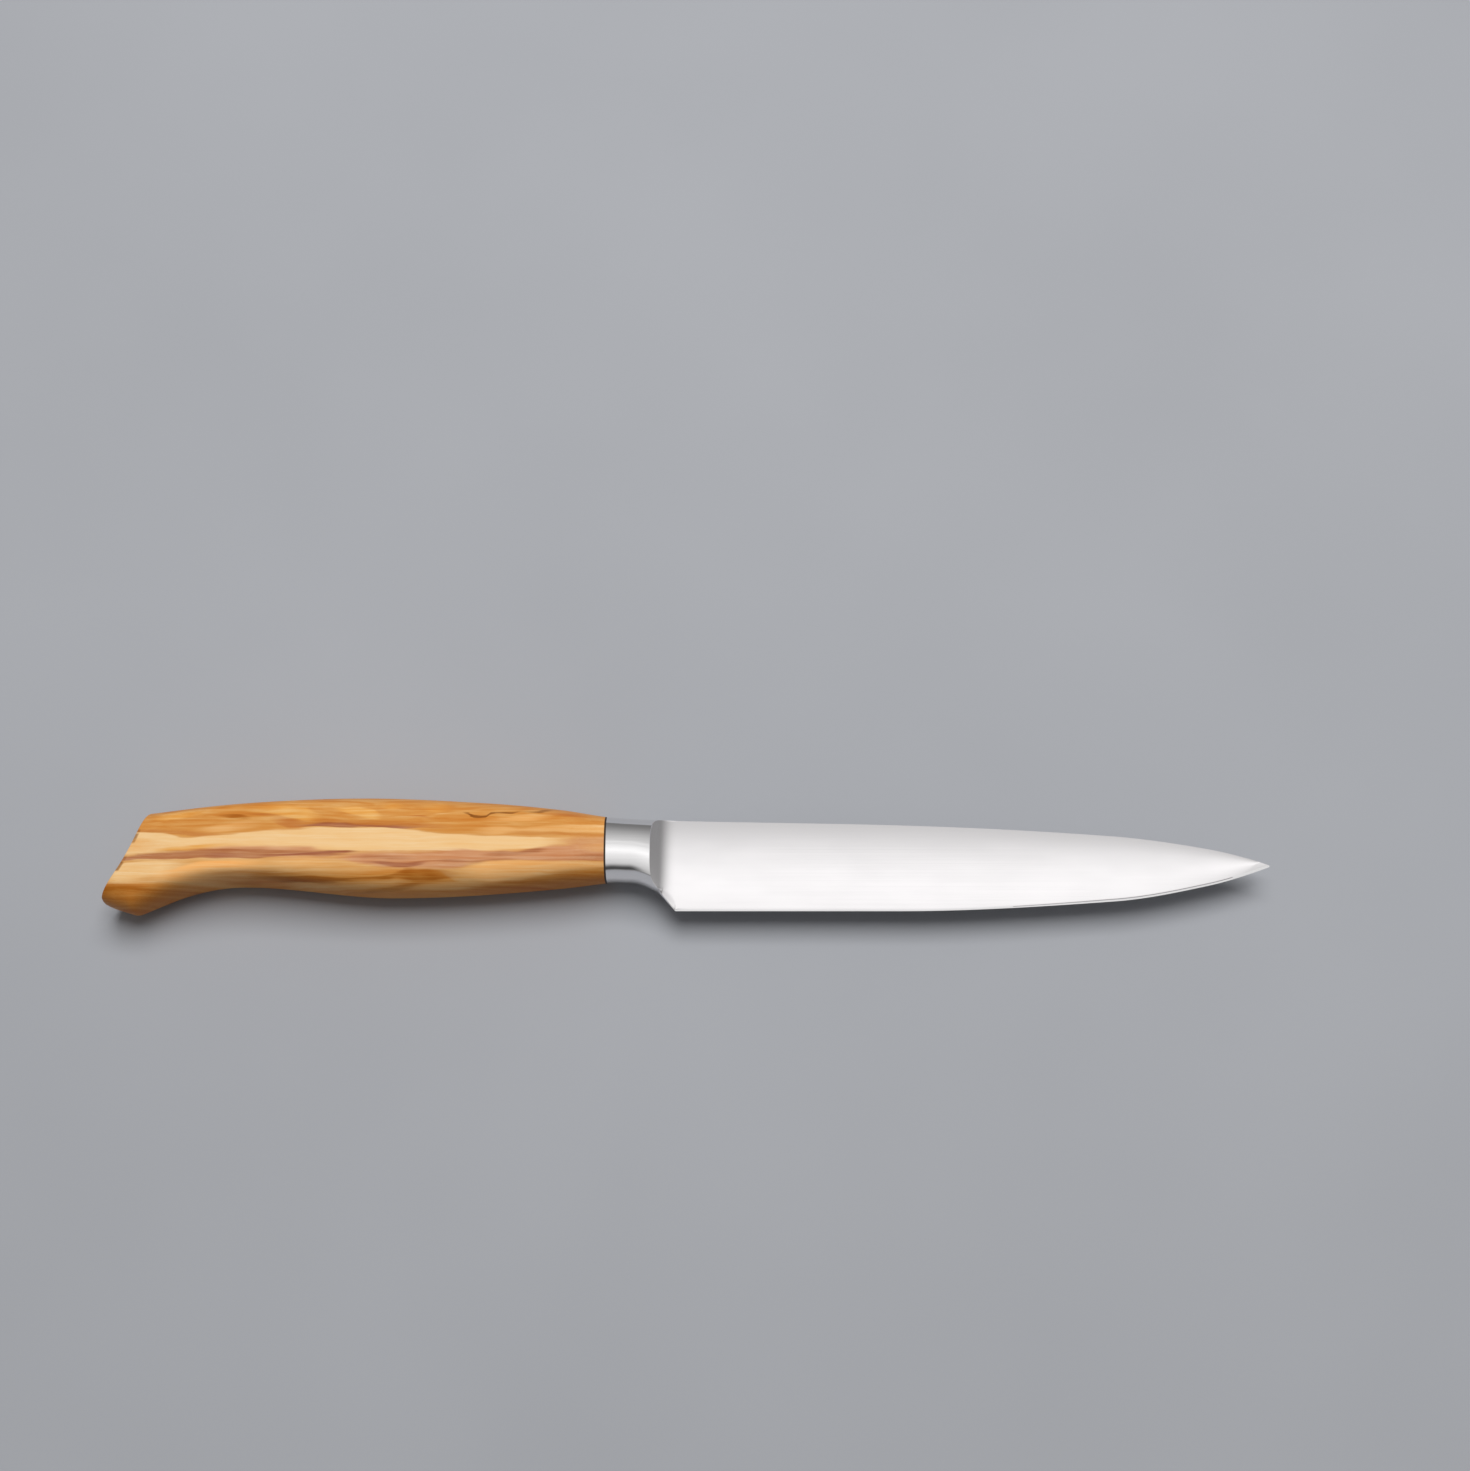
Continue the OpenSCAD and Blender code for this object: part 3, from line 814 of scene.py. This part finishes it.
# Bands of the figure on the upper side, one over the other: colour, strength, softness of the upper
# and the lower border in millimetres, and places along X with the heights of both borders
BANDS = [
    # Brown underside
    (BROWN, 0.9, 0.6, 0.6, [
        (-123, 4, -4), (-119, 4, -4), (-106, 4, -4), (-98, 4.8, -4), (-90, 6.2, -4), (-80, 6.5, -4),
        (-69, 6, -4), (-51, 7, -4), (-47, 6.5, -4), (-45, 4.8, -4), (-41, 4.2, -4), (-28, 5.8, -4),
        (-14, 7.5, -4), (-9, 7.5, -4),
    ]),
    # Orange back
    (ORANGE, 1, 0.3, 0.3, [
        (-124, 26, 14.6), (-120, 26, 14.6), (-102, 26, 14.4), (-98, 26, 13.6), (-94, 26, 13.7),
        (-84, 26, 14.6), (-74, 26, 15.3), (-58, 26, 15.4), (-45, 26, 14), (-13, 26, 13.3),
        (-8, 26, 13.3),
    ]),
    # Cream along the middle: partly pale wood, partly a painted sheen on the flat of the side
    (CREAM, 1, 0.15, 0.3, [
        (-124, 14.1, 9.2), (-120, 14.1, 9.2), (-109, 14.2, 10), (-101, 14.2, 10.5),
        (-98, 13.4, 10.7), (-94, 13.5, 10.9), (-84, 14.4, 11.1), (-74, 15.1, 10.9),
        (-58, 15.2, 10.5), (-45, 13.8, 10.5), (-27, 13.4, 11.1), (-20, 13, 12),
    ]),
    # Light flecks of the back
    (GOLD, 0.8, 0.25, 0.25, [(-107, 17.9, 17), (-103, 18.2, 16.9), (-98, 18.5, 17.3), (-93, 18.7, 18.1)]),
    (STRAW, 0.75, 0.3, 0.3, [(-96, 15.2, 14.6), (-92, 15.7, 14.4), (-88, 16.2, 14.8), (-82, 16.9, 15.2)]),
    (GOLD, 0.85, 0.35, 0.2, [
        (-86, 19.6, 18.7), (-79, 19.8, 17.8), (-75, 19.5, 16.8), (-73, 19.1, 16.5), (-70, 17.9, 16.6),
    ]),
    (GOLD, 0.9, 0.2, 0.2, [
        (-69, 19.8, 19.3), (-66, 19.7, 18.5), (-63, 19.6, 17.7), (-60, 18.9, 17.1), (-58, 17.7, 17),
    ]),
    (GOLD, 0.6, 0.3, 0.25, [(-60, 20.5, 19.8), (-57, 20.4, 18.9), (-54, 20.1, 19.4)]),
    (GOLD, 0.55, 0.3, 0.3, [(-52, 20.6, 19.4), (-48, 20.6, 18.5), (-45, 19.9, 19)]),
    (STRAW, 0.85, 0.25, 0.25, [(-39, 17, 16.6), (-33, 17.7, 16.6), (-28, 18, 16.9), (-24, 17.8, 17.3)]),
    (STRAW, 0.85, 0.3, 0.3, [
        (-41, 15, 14.2), (-36, 15.6, 13.8), (-30, 15.2, 14.4), (-23, 15.7, 14.4), (-14, 16, 14.3),
        (-8, 16, 14.3),
    ]),
    # Dark marks of the back
    (UMBER, 0.6, 0.15, 0.2, [(-92, 17.8, 17.6), (-89, 18, 17.3), (-86, 17.9, 17.1), (-84, 17.5, 17)]),
    (RUST, 0.7, 0.15, 0.2, [(-87, 18.2, 18), (-82, 18.2, 17.8), (-77, 17.9, 17.5)]),
    (RUST, 0.7, 0.35, 0.12, [
        (-111, 15.1, 14.5), (-106, 15.1, 14.5), (-102, 15, 14.4), (-97, 14.7, 13.8), (-94, 14.3, 13.6),
        (-89, 14.3, 13.9),
    ]),
    (RUST, 0.85, 0.4, 0.2, [(-81, 17.6, 17), (-78, 17.4, 15.5), (-75, 16.8, 15.2), (-72, 16.2, 15.4)]),
    (RUST, 0.7, 0.5, 0.2, [
        (-75, 16.6, 15.8), (-68, 16.8, 15.8), (-55, 16.4, 15.4), (-49, 16.1, 15.2), (-43, 15.6, 15.2),
    ]),
    (BARK, 0.85, 0.25, 0.12, [
        (-76, 15.8, 15.4), (-72, 16.1, 15.4), (-68, 16.3, 15.4), (-60, 15.9, 15.5), (-54, 15.6, 15),
        (-49, 15.7, 15.4),
    ]),
    (RUST, 0.7, 0.15, 0.2, [(-55, 17.5, 17.3), (-52, 18, 17.6), (-50, 17.9, 17.4), (-48, 17.3, 16.9)]),
    # Crack in the back
    (CRACK, 0.75, 0.12, 0.12, [
        (-43.2, 18.8, 18.6), (-41.4, 18.4, 18), (-40.2, 17.9, 17.4), (-37.8, 17.9, 17.4),
        (-37.3, 18.5, 17.9), (-36, 18.6, 18.3), (-33, 18.5, 18.2), (-31.4, 18.8, 18.5),
    ]),
    (CRACK, 0.6, 0.12, 0.12, [
        (-32, 18.7, 18.5), (-28.7, 18.8, 18.4), (-27.3, 19.2, 18.5), (-25.8, 19.3, 19),
    ]),
    (RUST, 0.9, 0.3, 0.3, [(-28, 19.5, 18), (-22, 18.7, 17.6), (-19, 18.5, 17.4)]),
    # Streaks in the cream
    (GOLD, 0.85, 0.25, 0.3, [
        (-105, 10.8, 10.4), (-101, 11.3, 10.3), (-97, 11.6, 10.5), (-93, 12, 10.9), (-84, 12.2, 11.3),
    ]),
    (STRAW, 0.6, 0.5, 0.5, [(-124, 13.2, 10.6), (-119, 13.2, 10.6), (-107, 13.2, 10.6), (-98, 12, 11)]),
    (RUST, 0.4, 0.3, 0.3, [(-35, 14.4, 14), (-30, 14.5, 13.7), (-14, 14.2, 13.6), (-8, 14.2, 13.6)]),
    # Russet band
    (MAUVE, 0.85, 0.4, 0.3, [
        (-97, 10.9, 10.3), (-90, 11.4, 10.5), (-77, 11.6, 10.5), (-72, 11.4, 10.3), (-69, 10.8, 10.1),
    ]),
    (RUSSET, 0.95, 0.35, 0.12, [
        (-114, 8.8, 8), (-110, 9.4, 8.5), (-107, 10, 8.8), (-94, 10.8, 9), (-84, 11, 9),
        (-74, 10.7, 9.5), (-68, 10.4, 9.6), (-63, 10.4, 9.9),
    ]),
    (BARK, 0.75, 0.3, 0.25, [(-95, 9.9, 9.3), (-90, 10.1, 9.2), (-84, 9.9, 9.3)]),
    (BARK, 0.95, 0.12, 0.12, [
        (-84, 9.8, 9.6), (-79, 10, 9.6), (-74, 10.2, 9.8), (-70, 10.4, 10), (-65, 10.6, 10.2),
        (-62, 10.5, 10.3),
    ]),
    (MAUVE, 0.6, 0.3, 0.4, [(-82, 9.3, 8.8), (-74, 9.6, 8.7), (-64, 10, 8.9)]),
    (MAUVE, 0.95, 0.5, 0.4, [
        (-68, 9.7, 9), (-64, 10, 8.4), (-60, 10.3, 7.7), (-55, 10.3, 7.2), (-51, 10.3, 7.2),
        (-46, 10.5, 7), (-42, 10.6, 7.4), (-38, 10.6, 8),
    ]),
    (RUSSET, 0.6, 0.25, 0.25, [(-65, 9.6, 9.2), (-61, 9.7, 9), (-54, 9.4, 8.7), (-50, 9.2, 8.9)]),
    (BARK, 0.75, 0.2, 0.2, [
        (-63, 8.5, 8.3), (-59, 8.4, 7.9), (-54, 8.2, 7.3), (-51, 8.3, 7.6), (-48, 8.5, 8.2),
    ]),
    (MAUVE, 1, 0.35, 0.2, [
        (-48, 10.3, 8.5), (-42, 10.7, 8.4), (-37, 10.5, 8.5), (-32, 10.5, 8.7), (-28, 10.9, 8.6),
        (-25, 11.5, 8.5), (-21, 11.8, 8.5), (-14, 12.5, 8.8), (-8, 12.5, 8.8),
    ]),
    (RUSSET, 0.8, 0.15, 0.15, [
        (-50, 8.4, 8.2), (-45, 8.7, 8.2), (-40, 8.5, 8.2), (-37, 8.7, 8.3), (-33, 9, 8.5), (-30, 9, 8.8),
    ]),
    (RUSSET, 0.85, 0.25, 0.3, [
        (-39, 9.9, 9.4), (-35, 10.3, 9.5), (-32, 10.4, 9.7), (-27, 11, 10.3), (-25, 11, 10.6),
    ]),
    # Front end
    (MAUVE, 0.6, 0.6, 0.3, [
        (-24, 12.7, 12.3), (-20, 13.2, 11.6), (-17, 13.4, 10.8), (-13, 13.5, 10.4), (-8, 13.5, 10.4),
    ]),
    (RUSSET, 0.5, 0.2, 0.3, [(-22, 9.6, 9.4), (-18, 9.8, 9.3), (-14, 9.7, 9.2), (-8, 9.7, 9.2)]),
    (STRAW, 0.4, 0.3, 0.3, [(-22, 11.6, 11), (-17, 12.2, 10.4), (-13, 12.4, 10.4), (-8, 12.4, 10.4)]),
    # Pale wood below the russet band; near the butt it is partly a painted highlight
    (CREAM, 0.9, 0.12, 0.8, [
        (-116, 6, 4.4), (-112, 7.1, 4.3), (-110, 7.9, 4.3), (-107, 8.4, 4.7), (-104, 8.5, 5.3),
        (-101, 8.5, 5), (-96, 8.4, 6),
    ]),
    (HONEY, 0.95, 0.4, 0.6, [
        (-105, 6.4, 4.2), (-99, 7, 4.2), (-94, 8.2, 4.8), (-87, 8.6, 5.6), (-80, 8.5, 6.8),
    ]),
    (STRAW, 0.6, 0.4, 0.5, [(-82, 8.9, 7.9), (-76, 9.2, 7.5), (-71, 9.2, 7.5), (-67, 8.5, 7.3)]),
    (HONEY, 0.9, 0.4, 0.5, [
        (-44, 6.9, 5.5), (-39, 8, 4.4), (-35, 8.5, 5), (-29, 8.6, 5.8), (-23, 8.4, 6.7), (-14, 8.5, 7.6),
        (-8, 8.5, 7.6),
    ]),
    # Dark marks of the underside
    (RUST, 0.5, 0.3, 0.4, [(-94, 6, 5.6), (-86, 6.6, 6.1), (-81, 6.7, 6.2), (-75, 6.3, 6)]),
    (COCOA, 0.5, 0.6, 0.6, [(-99, 4.2, 2.6), (-93, 4.9, 3.4), (-86, 5, 3.6)]),
    (UMBER, 0.75, 0.2, 0.2, [
        (-87, 5.5, 5), (-80, 5.6, 4.5), (-74, 5.5, 4.3), (-70, 5.4, 4.3), (-66, 5.2, 4.7),
        (-61, 5.4, 5), (-57, 5.8, 5.1), (-53, 6.5, 5.7),
    ]),
    (UMBER, 0.7, 0.25, 0.3, [
        (-57, 5.9, 5.3), (-54, 6.8, 4.9), (-51, 7, 4.8), (-48, 6.9, 4.9), (-43, 6.4, 5.6),
    ]),
    (UMBER, 0.4, 0.12, 0.15, [
        (-73, 2.6, 2.4), (-66, 2.8, 2.4), (-61, 3.1, 2.6), (-57, 3.7, 3), (-54, 4.2, 3.5), (-50, 4.8, 4.4),
    ]),
    (STRAW, 0.8, 0.4, 0.4, [
        (-84, 4.2, 3.6), (-78, 4.4, 3.2), (-68, 4.3, 3.2), (-62, 4.5, 3.4), (-57, 4.8, 3.9),
        (-53, 5, 4.5),
    ]),
    (STRAW, 0.8, 0.4, 0.4, [(-58, 3.1, 2.6), (-52, 3.9, 2.9), (-44, 4.6, 3.2), (-38, 4.8, 4)]),
    (COCOA, 0.85, 0.4, 0.6, [
        (-48, 3.1, -4), (-41, 3.9, -4), (-36, 4.6, -4), (-31, 5, -4), (-26, 5.4, -4), (-14, 5.6, -4),
        (-10, 5.6, -4),
    ]),
    # Marks of the hook
    (UMBER, 0.35, 0.6, 0.6, [(-124, 4.2, -4), (-119, 4.2, -4), (-106, 3.6, -4), (-100, 3, -4)]),
    (UMBER, 0.7, 0.4, 0.4, [
        (-119, 3, 2.4), (-115, 3.3, 2.4), (-112, 3.5, 2.4), (-107, 3.6, 2.5), (-103, 2.9, 2.7),
    ]),
    (COCOA, 0.9, 0.25, 0.3, [(-110, 0.1, -0.1), (-107, 1.4, 0.8), (-104, 2.5, 1.7), (-99, 3.7, 2.9)]),
]
BAND_LOW, BAND_RANGE = -4.0, 30.0

# How far the grain moves along X and up for each millimetre through the thickness
GRAIN_SKEW_X, GRAIN_SKEW_Y = 0.8, 0.15

# Sway of the grain: size of its waves in millimetres, and reach
GRAIN_SWAY = [((40, 8, 8), 0.6), ((12, 1.5, 1.5), 0.7), ((5, 0.4, 0.4), 0.5)]

# Dark rim of the butt, partly its darker end grain and partly painted shade: its depth and the heights of
# its dark patches in millimetres, and its noise
END_GRAIN_SHADE_DEPTH, END_SHADE = 0.8, 0.7
END_PATCHES, END_SOFT = [(6.0, 10.0), (12.0, 15.4)], 0.9
END_RINGS, END_LOW, END_HIGH = (3, 0.7, 2.5), 0.3, 0.5

# Noise of the wood, as sizes along X, Y and Z in millimetres
BLOTCH = (30, 2, 1)
STREAK = (24, 0.5, 1)
LENS = (9, 1.2, 1)
FIBRE = (9, 0.16, 0.16)

# Streaks are weaker between these heights, and lenses stronger above those, in millimetres
CALM_LOW, CALM_HIGH, CALM_SOFT, CALM_STREAK = 10.6, 16.0, 1.0, 0.45
LENS_LOW, LENS_HIGH, LENS_WEAK, LENS_STRONG = 15.5, 17.5, 0.3, 0.9
FIBRE_LIGHT = 0.4
FIBRE_LOW, FIBRE_HIGH = 0.3, 0.75
WOOD_ROUGH, WOOD_SMOOTH, WOOD_SPECULAR = 0.5, 0.38, 0.12
FIBRE_DEPTH, FIBRE_BUMP = 0.00003, 0.4


def grain_place(s):
    """Place along and across the grain, which lies askew through the thickness and sways."""
    axes = s.add("SeparateXYZ", {0: s.place()})
    depth = s.math("SUBTRACT", axes.outputs["Z"], HANDLE_T / 2)
    along = s.math("ADD", axes.outputs["X"], s.math("MULTIPLY", depth, GRAIN_SKEW_X))
    height = s.math("ADD", axes.outputs["Y"], s.math("MULTIPLY", depth, GRAIN_SKEW_Y))
    grain = s.add("CombineXYZ", {0: along, 1: height}).outputs[0]
    for size, reach in GRAIN_SWAY:
        grain = s.sway(grain, size, reach)
    return grain


def add_band(s, along, height, wood, band):
    """Lays one band of the figure over the wood. It fades out towards its first and last place."""
    shade, strength, above, below, places = band
    first, last = places[0][0], places[-1][0]
    stops = []
    for x, upper, lower in places:
        borders = [(v - BAND_LOW) / BAND_RANGE for v in (upper, lower)]
        shown = 0.0 if x in (first, last) else strength
        stops.append(((x - first) / (last - first), (*borders, shown, 1.0)))
    where = s.span(along, first, last, smooth=False)
    borders = s.add("SeparateColor", {0: s.ramp(where, stops, "CARDINAL")}).outputs
    over = s.math("SUBTRACT", borders[0], height)
    under = s.math("SUBTRACT", height, borders[1])
    above, below = above / BAND_RANGE, below / BAND_RANGE
    inside = s.math("MULTIPLY", s.span(over, -above, above), s.span(under, -below, below))
    return s.mix(s.math("MULTIPLY", inside, borders[2]), wood, shade)


def end_grain_and_shade(s):
    """How far a place lies in the dark rim of the butt, in patches: partly its darker end grain, partly
    painted shade.
    """
    centre, radius = butt_arc()
    place = s.add("VectorMath", {0: s.place(), 1: (1, 1, 0)}, operation="MULTIPLY").outputs[0]
    away = s.add("VectorMath", {0: place, 1: (*centre, 0)}, operation="DISTANCE").outputs["Value"]
    near = s.span(away, radius + END_GRAIN_SHADE_DEPTH, radius + END_GRAIN_SHADE_DEPTH / 2, 0, END_SHADE)
    height = s.add("SeparateXYZ", {0: place}).outputs["Y"]
    patches = [s.window(height, low, high, END_SOFT) for low, high in END_PATCHES]
    rings = s.span(s.noise(s.place(), END_RINGS), END_LOW, END_HIGH)
    return s.math("MULTIPLY", s.math("MULTIPLY", near, rings), s.math("ADD", *patches))


def make_wood():
    s = Shader("olive_wood")
    grain = grain_place(s)
    axes = s.add("SeparateXYZ", {0: grain}).outputs
    height = axes["Y"]
    share = s.span(height, BAND_LOW, BAND_LOW + BAND_RANGE, smooth=False)
    wood = s.mix(s.noise(grain, BLOTCH, detail=2.0), TAN, STRAW)
    for band in BANDS:
        wood = add_band(s, axes["X"], share, wood, band)
    # Darkens the rim of the butt: partly darker end grain, partly painted shade
    wood = s.mix(end_grain_and_shade(s), wood, CRACK)

    calm = s.window(height, CALM_LOW, CALM_HIGH, CALM_SOFT)
    streaks = s.math("SUBTRACT", s.noise(grain, STREAK, detail=4.0, roughness=0.6), 0.5)
    streaks = s.math("MULTIPLY", streaks, s.span(calm, 0, 1, 1.0, CALM_STREAK))
    lens = s.math("SUBTRACT", s.noise(grain, LENS, detail=2.0, distortion=0.8), 0.5)
    lens = s.math("MULTIPLY", lens, s.span(height, LENS_LOW, LENS_HIGH, LENS_WEAK, LENS_STRONG))
    fibre = s.noise(s.place(), FIBRE, detail=4.0, roughness=0.7)
    fine = s.math("MULTIPLY", s.math("SUBTRACT", fibre, 0.5), FIBRE_LIGHT)
    light = s.math("ADD", s.math("ADD", streaks, lens), fine)
    gamma = s.math("SUBTRACT", 1.0, light)
    s.set("Base Color", s.add("Gamma", {"Color": wood, "Gamma": gamma}).outputs[0])
    s.set("Roughness", s.span(fibre, FIBRE_LOW, FIBRE_HIGH, WOOD_ROUGH, WOOD_SMOOTH, smooth=False))
    s.set("Specular IOR Level", WOOD_SPECULAR)
    s.bump(fibre, FIBRE_DEPTH, FIBRE_BUMP)
    return s.material


# Finishes of the steel: colour, roughness and its spread, width of the lines in millimetres and
# their depth in metres
STEEL_FINISHES = [
    ("steel_polished", (0.87, 0.858, 0.86, 1.0), 0.09, 0.02, 0.3, 0.000002),
    ("steel_satin", (0.875, 0.854, 0.86, 1.0), 0.18, 0.03, 0.12, 0.000004),
    ("steel_edge", (0.9, 0.89, 0.89, 1.0), 0.25, 0.05, 0.1, 0.000006),
    ("steel_forged", (0.5, 0.5, 0.5, 1.0), 0.5, 0.08, 0.6, 0.00003),
    # Dark finish that paints a reflection along the shoulder of the ground edge
    ("steel_painted_reflection", (0.45, 0.43, 0.44, 1.0), 0.4, 0.05, 0.1, 0.000006),
]

# Lines of grinding: length and depth of their noise in millimetres, and their share of the tone
GRIND_LEN, GRIND_DEEP, GRIND_SHARE, GRIND_BUMP = 90, 1000, 0.6, 0.35
CLOUD, CLOUD_SHARE = (14, 5, 5), 0.4
TONE_LOW, TONE_HIGH, TONE_DARK = 0.35, 0.65, 0.96


def make_steel_finish(name, shade, roughness, spread, line_width, depth):
    """Steel with fine lines of grinding along the blade."""
    s = Shader(name)
    place = s.place()
    lines = s.noise(place, (GRIND_LEN, line_width, GRIND_DEEP), detail=5.0, roughness=0.65)
    cloud = s.noise(place, CLOUD, detail=2.0)
    line_tone = s.math("MULTIPLY", lines, GRIND_SHARE)
    both = s.math("ADD", line_tone, s.math("MULTIPLY", cloud, CLOUD_SHARE))
    tone = s.span(both, TONE_LOW, TONE_HIGH)
    dark = tuple(v * TONE_DARK for v in shade[:3]) + (1.0,)
    s.set("Base Color", s.mix(tone, dark, shade))
    s.set("Metallic", 1.0)
    s.set("Roughness", s.span(tone, 0, 1, roughness + spread, roughness - spread, smooth=False))
    s.bump(lines, depth, GRIND_BUMP)
    return s.material


# Part of a noise's range over which the plain materials change
MOTTLE_LOW, MOTTLE_HIGH = 0.3, 0.7


def make_mottled(name, shades, size, detail, roughness, depth, strength):
    """A material of two shades with soft spots of one size in millimetres."""
    s = Shader(name)
    spots = s.noise(s.place(), (size,) * 3, detail=detail)
    s.set("Base Color", s.ramp(spots, list(zip((MOTTLE_LOW, MOTTLE_HIGH), shades))))
    s.set("Roughness", s.span(spots, MOTTLE_LOW, MOTTLE_HIGH, *roughness))
    s.bump(spots, depth, strength)
    return s.material


def make_liner_finish():
    """Dark pressed fibre of the thin liner."""
    shades = (colour(34, 26, 20), colour(62, 48, 38))
    return make_mottled("liner_fibre", shades, 0.35, 4.0, (0.55, 0.75), 0.00005, 0.4)


def make_resin():
    """Amber adhesive that beds the tang."""
    shades = (colour(172, 140, 78), colour(204, 176, 112))
    return make_mottled("bedding_resin", shades, 2.5, 3.0, (0.35, 0.5), 0.0001, 0.3)


# Stage

# Camera: how far it is from the heel along X and Y and from the floor, in millimetres
CAMERA_X, CAMERA_Y, CAMERA_Z = 11.95, -87.67, 409.72
CAMERA_TILT = math.radians(17.2)
CAMERA_LENS = 50.18
CAMERA_SENSOR = 36.0
CAMERA_NEAR = 0.01


def make_camera():
    data = bpy.data.cameras.new("camera")
    data.lens = CAMERA_LENS
    data.sensor_width = CAMERA_SENSOR
    data.sensor_fit = "HORIZONTAL"
    data.clip_start = CAMERA_NEAR
    camera = bpy.data.objects.new("camera", data)
    camera.location = Vector((HEEL[0] + CAMERA_X, HEEL[1] + CAMERA_Y, cad_low.z / MM + CAMERA_Z)) * MM
    camera.rotation_euler = (CAMERA_TILT, 0, 0)
    bpy.context.scene.collection.objects.link(camera)
    bpy.context.scene.camera = camera


# Floor: half its width and its gap to the knife in metres, and its clouds in millimetres
FLOOR_HALF, FLOOR_GAP = 3.0, 0.02 * MM
FLOOR_CLOUD = (90, 90, 90)
FLOOR_ROUGH = 0.8
FLOOR_SHADES = [(MOTTLE_LOW, colour(166, 168, 173)), (MOTTLE_HIGH, colour(170, 172, 177))]


def make_floor():
    s = Shader("floor")
    s.set("Base Color", s.ramp(s.noise(s.place(), FLOOR_CLOUD, detail=3.0), FLOOR_SHADES))
    s.set("Roughness", FLOOR_ROUGH)
    mesh = bpy.data.meshes.new("floor")
    signs = [(-1, -1), (1, -1), (1, 1), (-1, 1)]
    corners = [(x * FLOOR_HALF, y * FLOOR_HALF, cad_low.z - FLOOR_GAP) for x, y in signs]
    mesh.from_pydata(corners, [], [(0, 1, 2, 3)])
    mesh.materials.append(s.material)
    floor = bpy.data.objects.new("floor", mesh)
    bpy.context.scene.collection.objects.link(floor)


# Lamp: place and size in metres, and power in watts
KEY_PLACE = Vector((0.05, 0.34, 1.0))
KEY_SIZE = 0.65
KEY_POWER = 10.6


def make_key_light():
    data = bpy.data.lights.new("key", "AREA")
    data.shape = "SQUARE"
    data.size = KEY_SIZE
    data.energy = KEY_POWER
    light = bpy.data.objects.new("key", data)
    light.location = KEY_PLACE
    light.rotation_euler = KEY_PLACE.to_track_quat("Z", "Y").to_euler()
    light.visible_glossy = False
    light.visible_camera = False
    bpy.context.scene.collection.objects.link(light)


# Brightness of the room from the front wall, over the top, to the back, along Y of the direction
ROOM = [
    (-1.0, 0.06),
    (-0.96, 0.08),
    (-0.91, 0.29),
    (-0.84, 0.6),
    (-0.77, 0.71),
    (-0.59, 0.81),
    (-0.41, 0.9),
    (-0.23, 0.98),
    (0.0, 1.17),
    (0.06, 1.16),
    (0.14, 1.09),
    (0.2, 0.99),
    (0.265, 0.81),
    (0.31, 0.68),
    (0.375, 0.62),
    (0.47, 0.55),
    (0.61, 0.46),
    (0.83, 0.31),
    (1.0, 0.19),
]
ROOM_PEAK = 1.17

# Fall of the room's light to the sides, its level at the horizon and the height where that ends
SIDE_FALL, SIDE_POWER = 0.78, 3.35
HORIZON, HORIZON_LOW, HORIZON_HIGH = 0.24, 0.02, 0.1

# Light that the room gives to rough surfaces, at the horizon and overhead
AMBIENT_LOW, AMBIENT_TOP = 0.0, 0.27


def make_world():
    """Soft room: brightest overhead, dim to the back and sides, with a dark front wall."""
    world = bpy.data.worlds.new("studio")
    bpy.context.scene.world = world
    world.use_nodes = True
    s = Nodes(world.node_tree)
    axes = s.add("SeparateXYZ", {0: s.add("TexCoord").outputs["Generated"]})
    share = s.span(axes.outputs["Y"], -1, 1, smooth=False)
    stops = [((y + 1) / 2, (level / ROOM_PEAK,) * 3 + (1.0,)) for y, level in ROOM]
    room = s.math("MULTIPLY", s.ramp(share, stops), ROOM_PEAK)
    side = s.math("POWER", s.math("ABSOLUTE", axes.outputs["X"]), SIDE_POWER)
    room = s.math("MULTIPLY", room, s.span(side, 0, 1, 1, 1 - SIDE_FALL, smooth=False))
    above = s.span(axes.outputs["Z"], HORIZON_LOW, HORIZON_HIGH)
    room = s.mix(above, HORIZON, room, kind="FLOAT")
    ambient = s.span(axes.outputs["Z"], 0, 1, AMBIENT_LOW, AMBIENT_TOP, smooth=False)
    rays = s.add("LightPath").outputs
    seen = s.math("MAXIMUM", rays["Is Camera Ray"], rays["Is Glossy Ray"])
    seen = s.math("MAXIMUM", seen, rays["Is Transmission Ray"])
    level = s.mix(seen, ambient, room, kind="FLOAT")
    background = s.add("Background", {"Color": (1, 1, 1, 1), "Strength": level})
    s.add("OutputWorld", {"Surface": background.outputs[0]})


make_camera()
make_handle(make_wood())
make_steel(*[make_steel_finish(*finish) for finish in STEEL_FINISHES])
for node_name, material in (("liner", make_liner_finish()), ("bedding", make_resin())):
    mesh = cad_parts[node_name].data
    mesh.materials.clear()
    mesh.materials.append(material)
make_floor()
make_key_light()
make_world()
bpy.context.scene.view_settings.view_transform = "Standard"
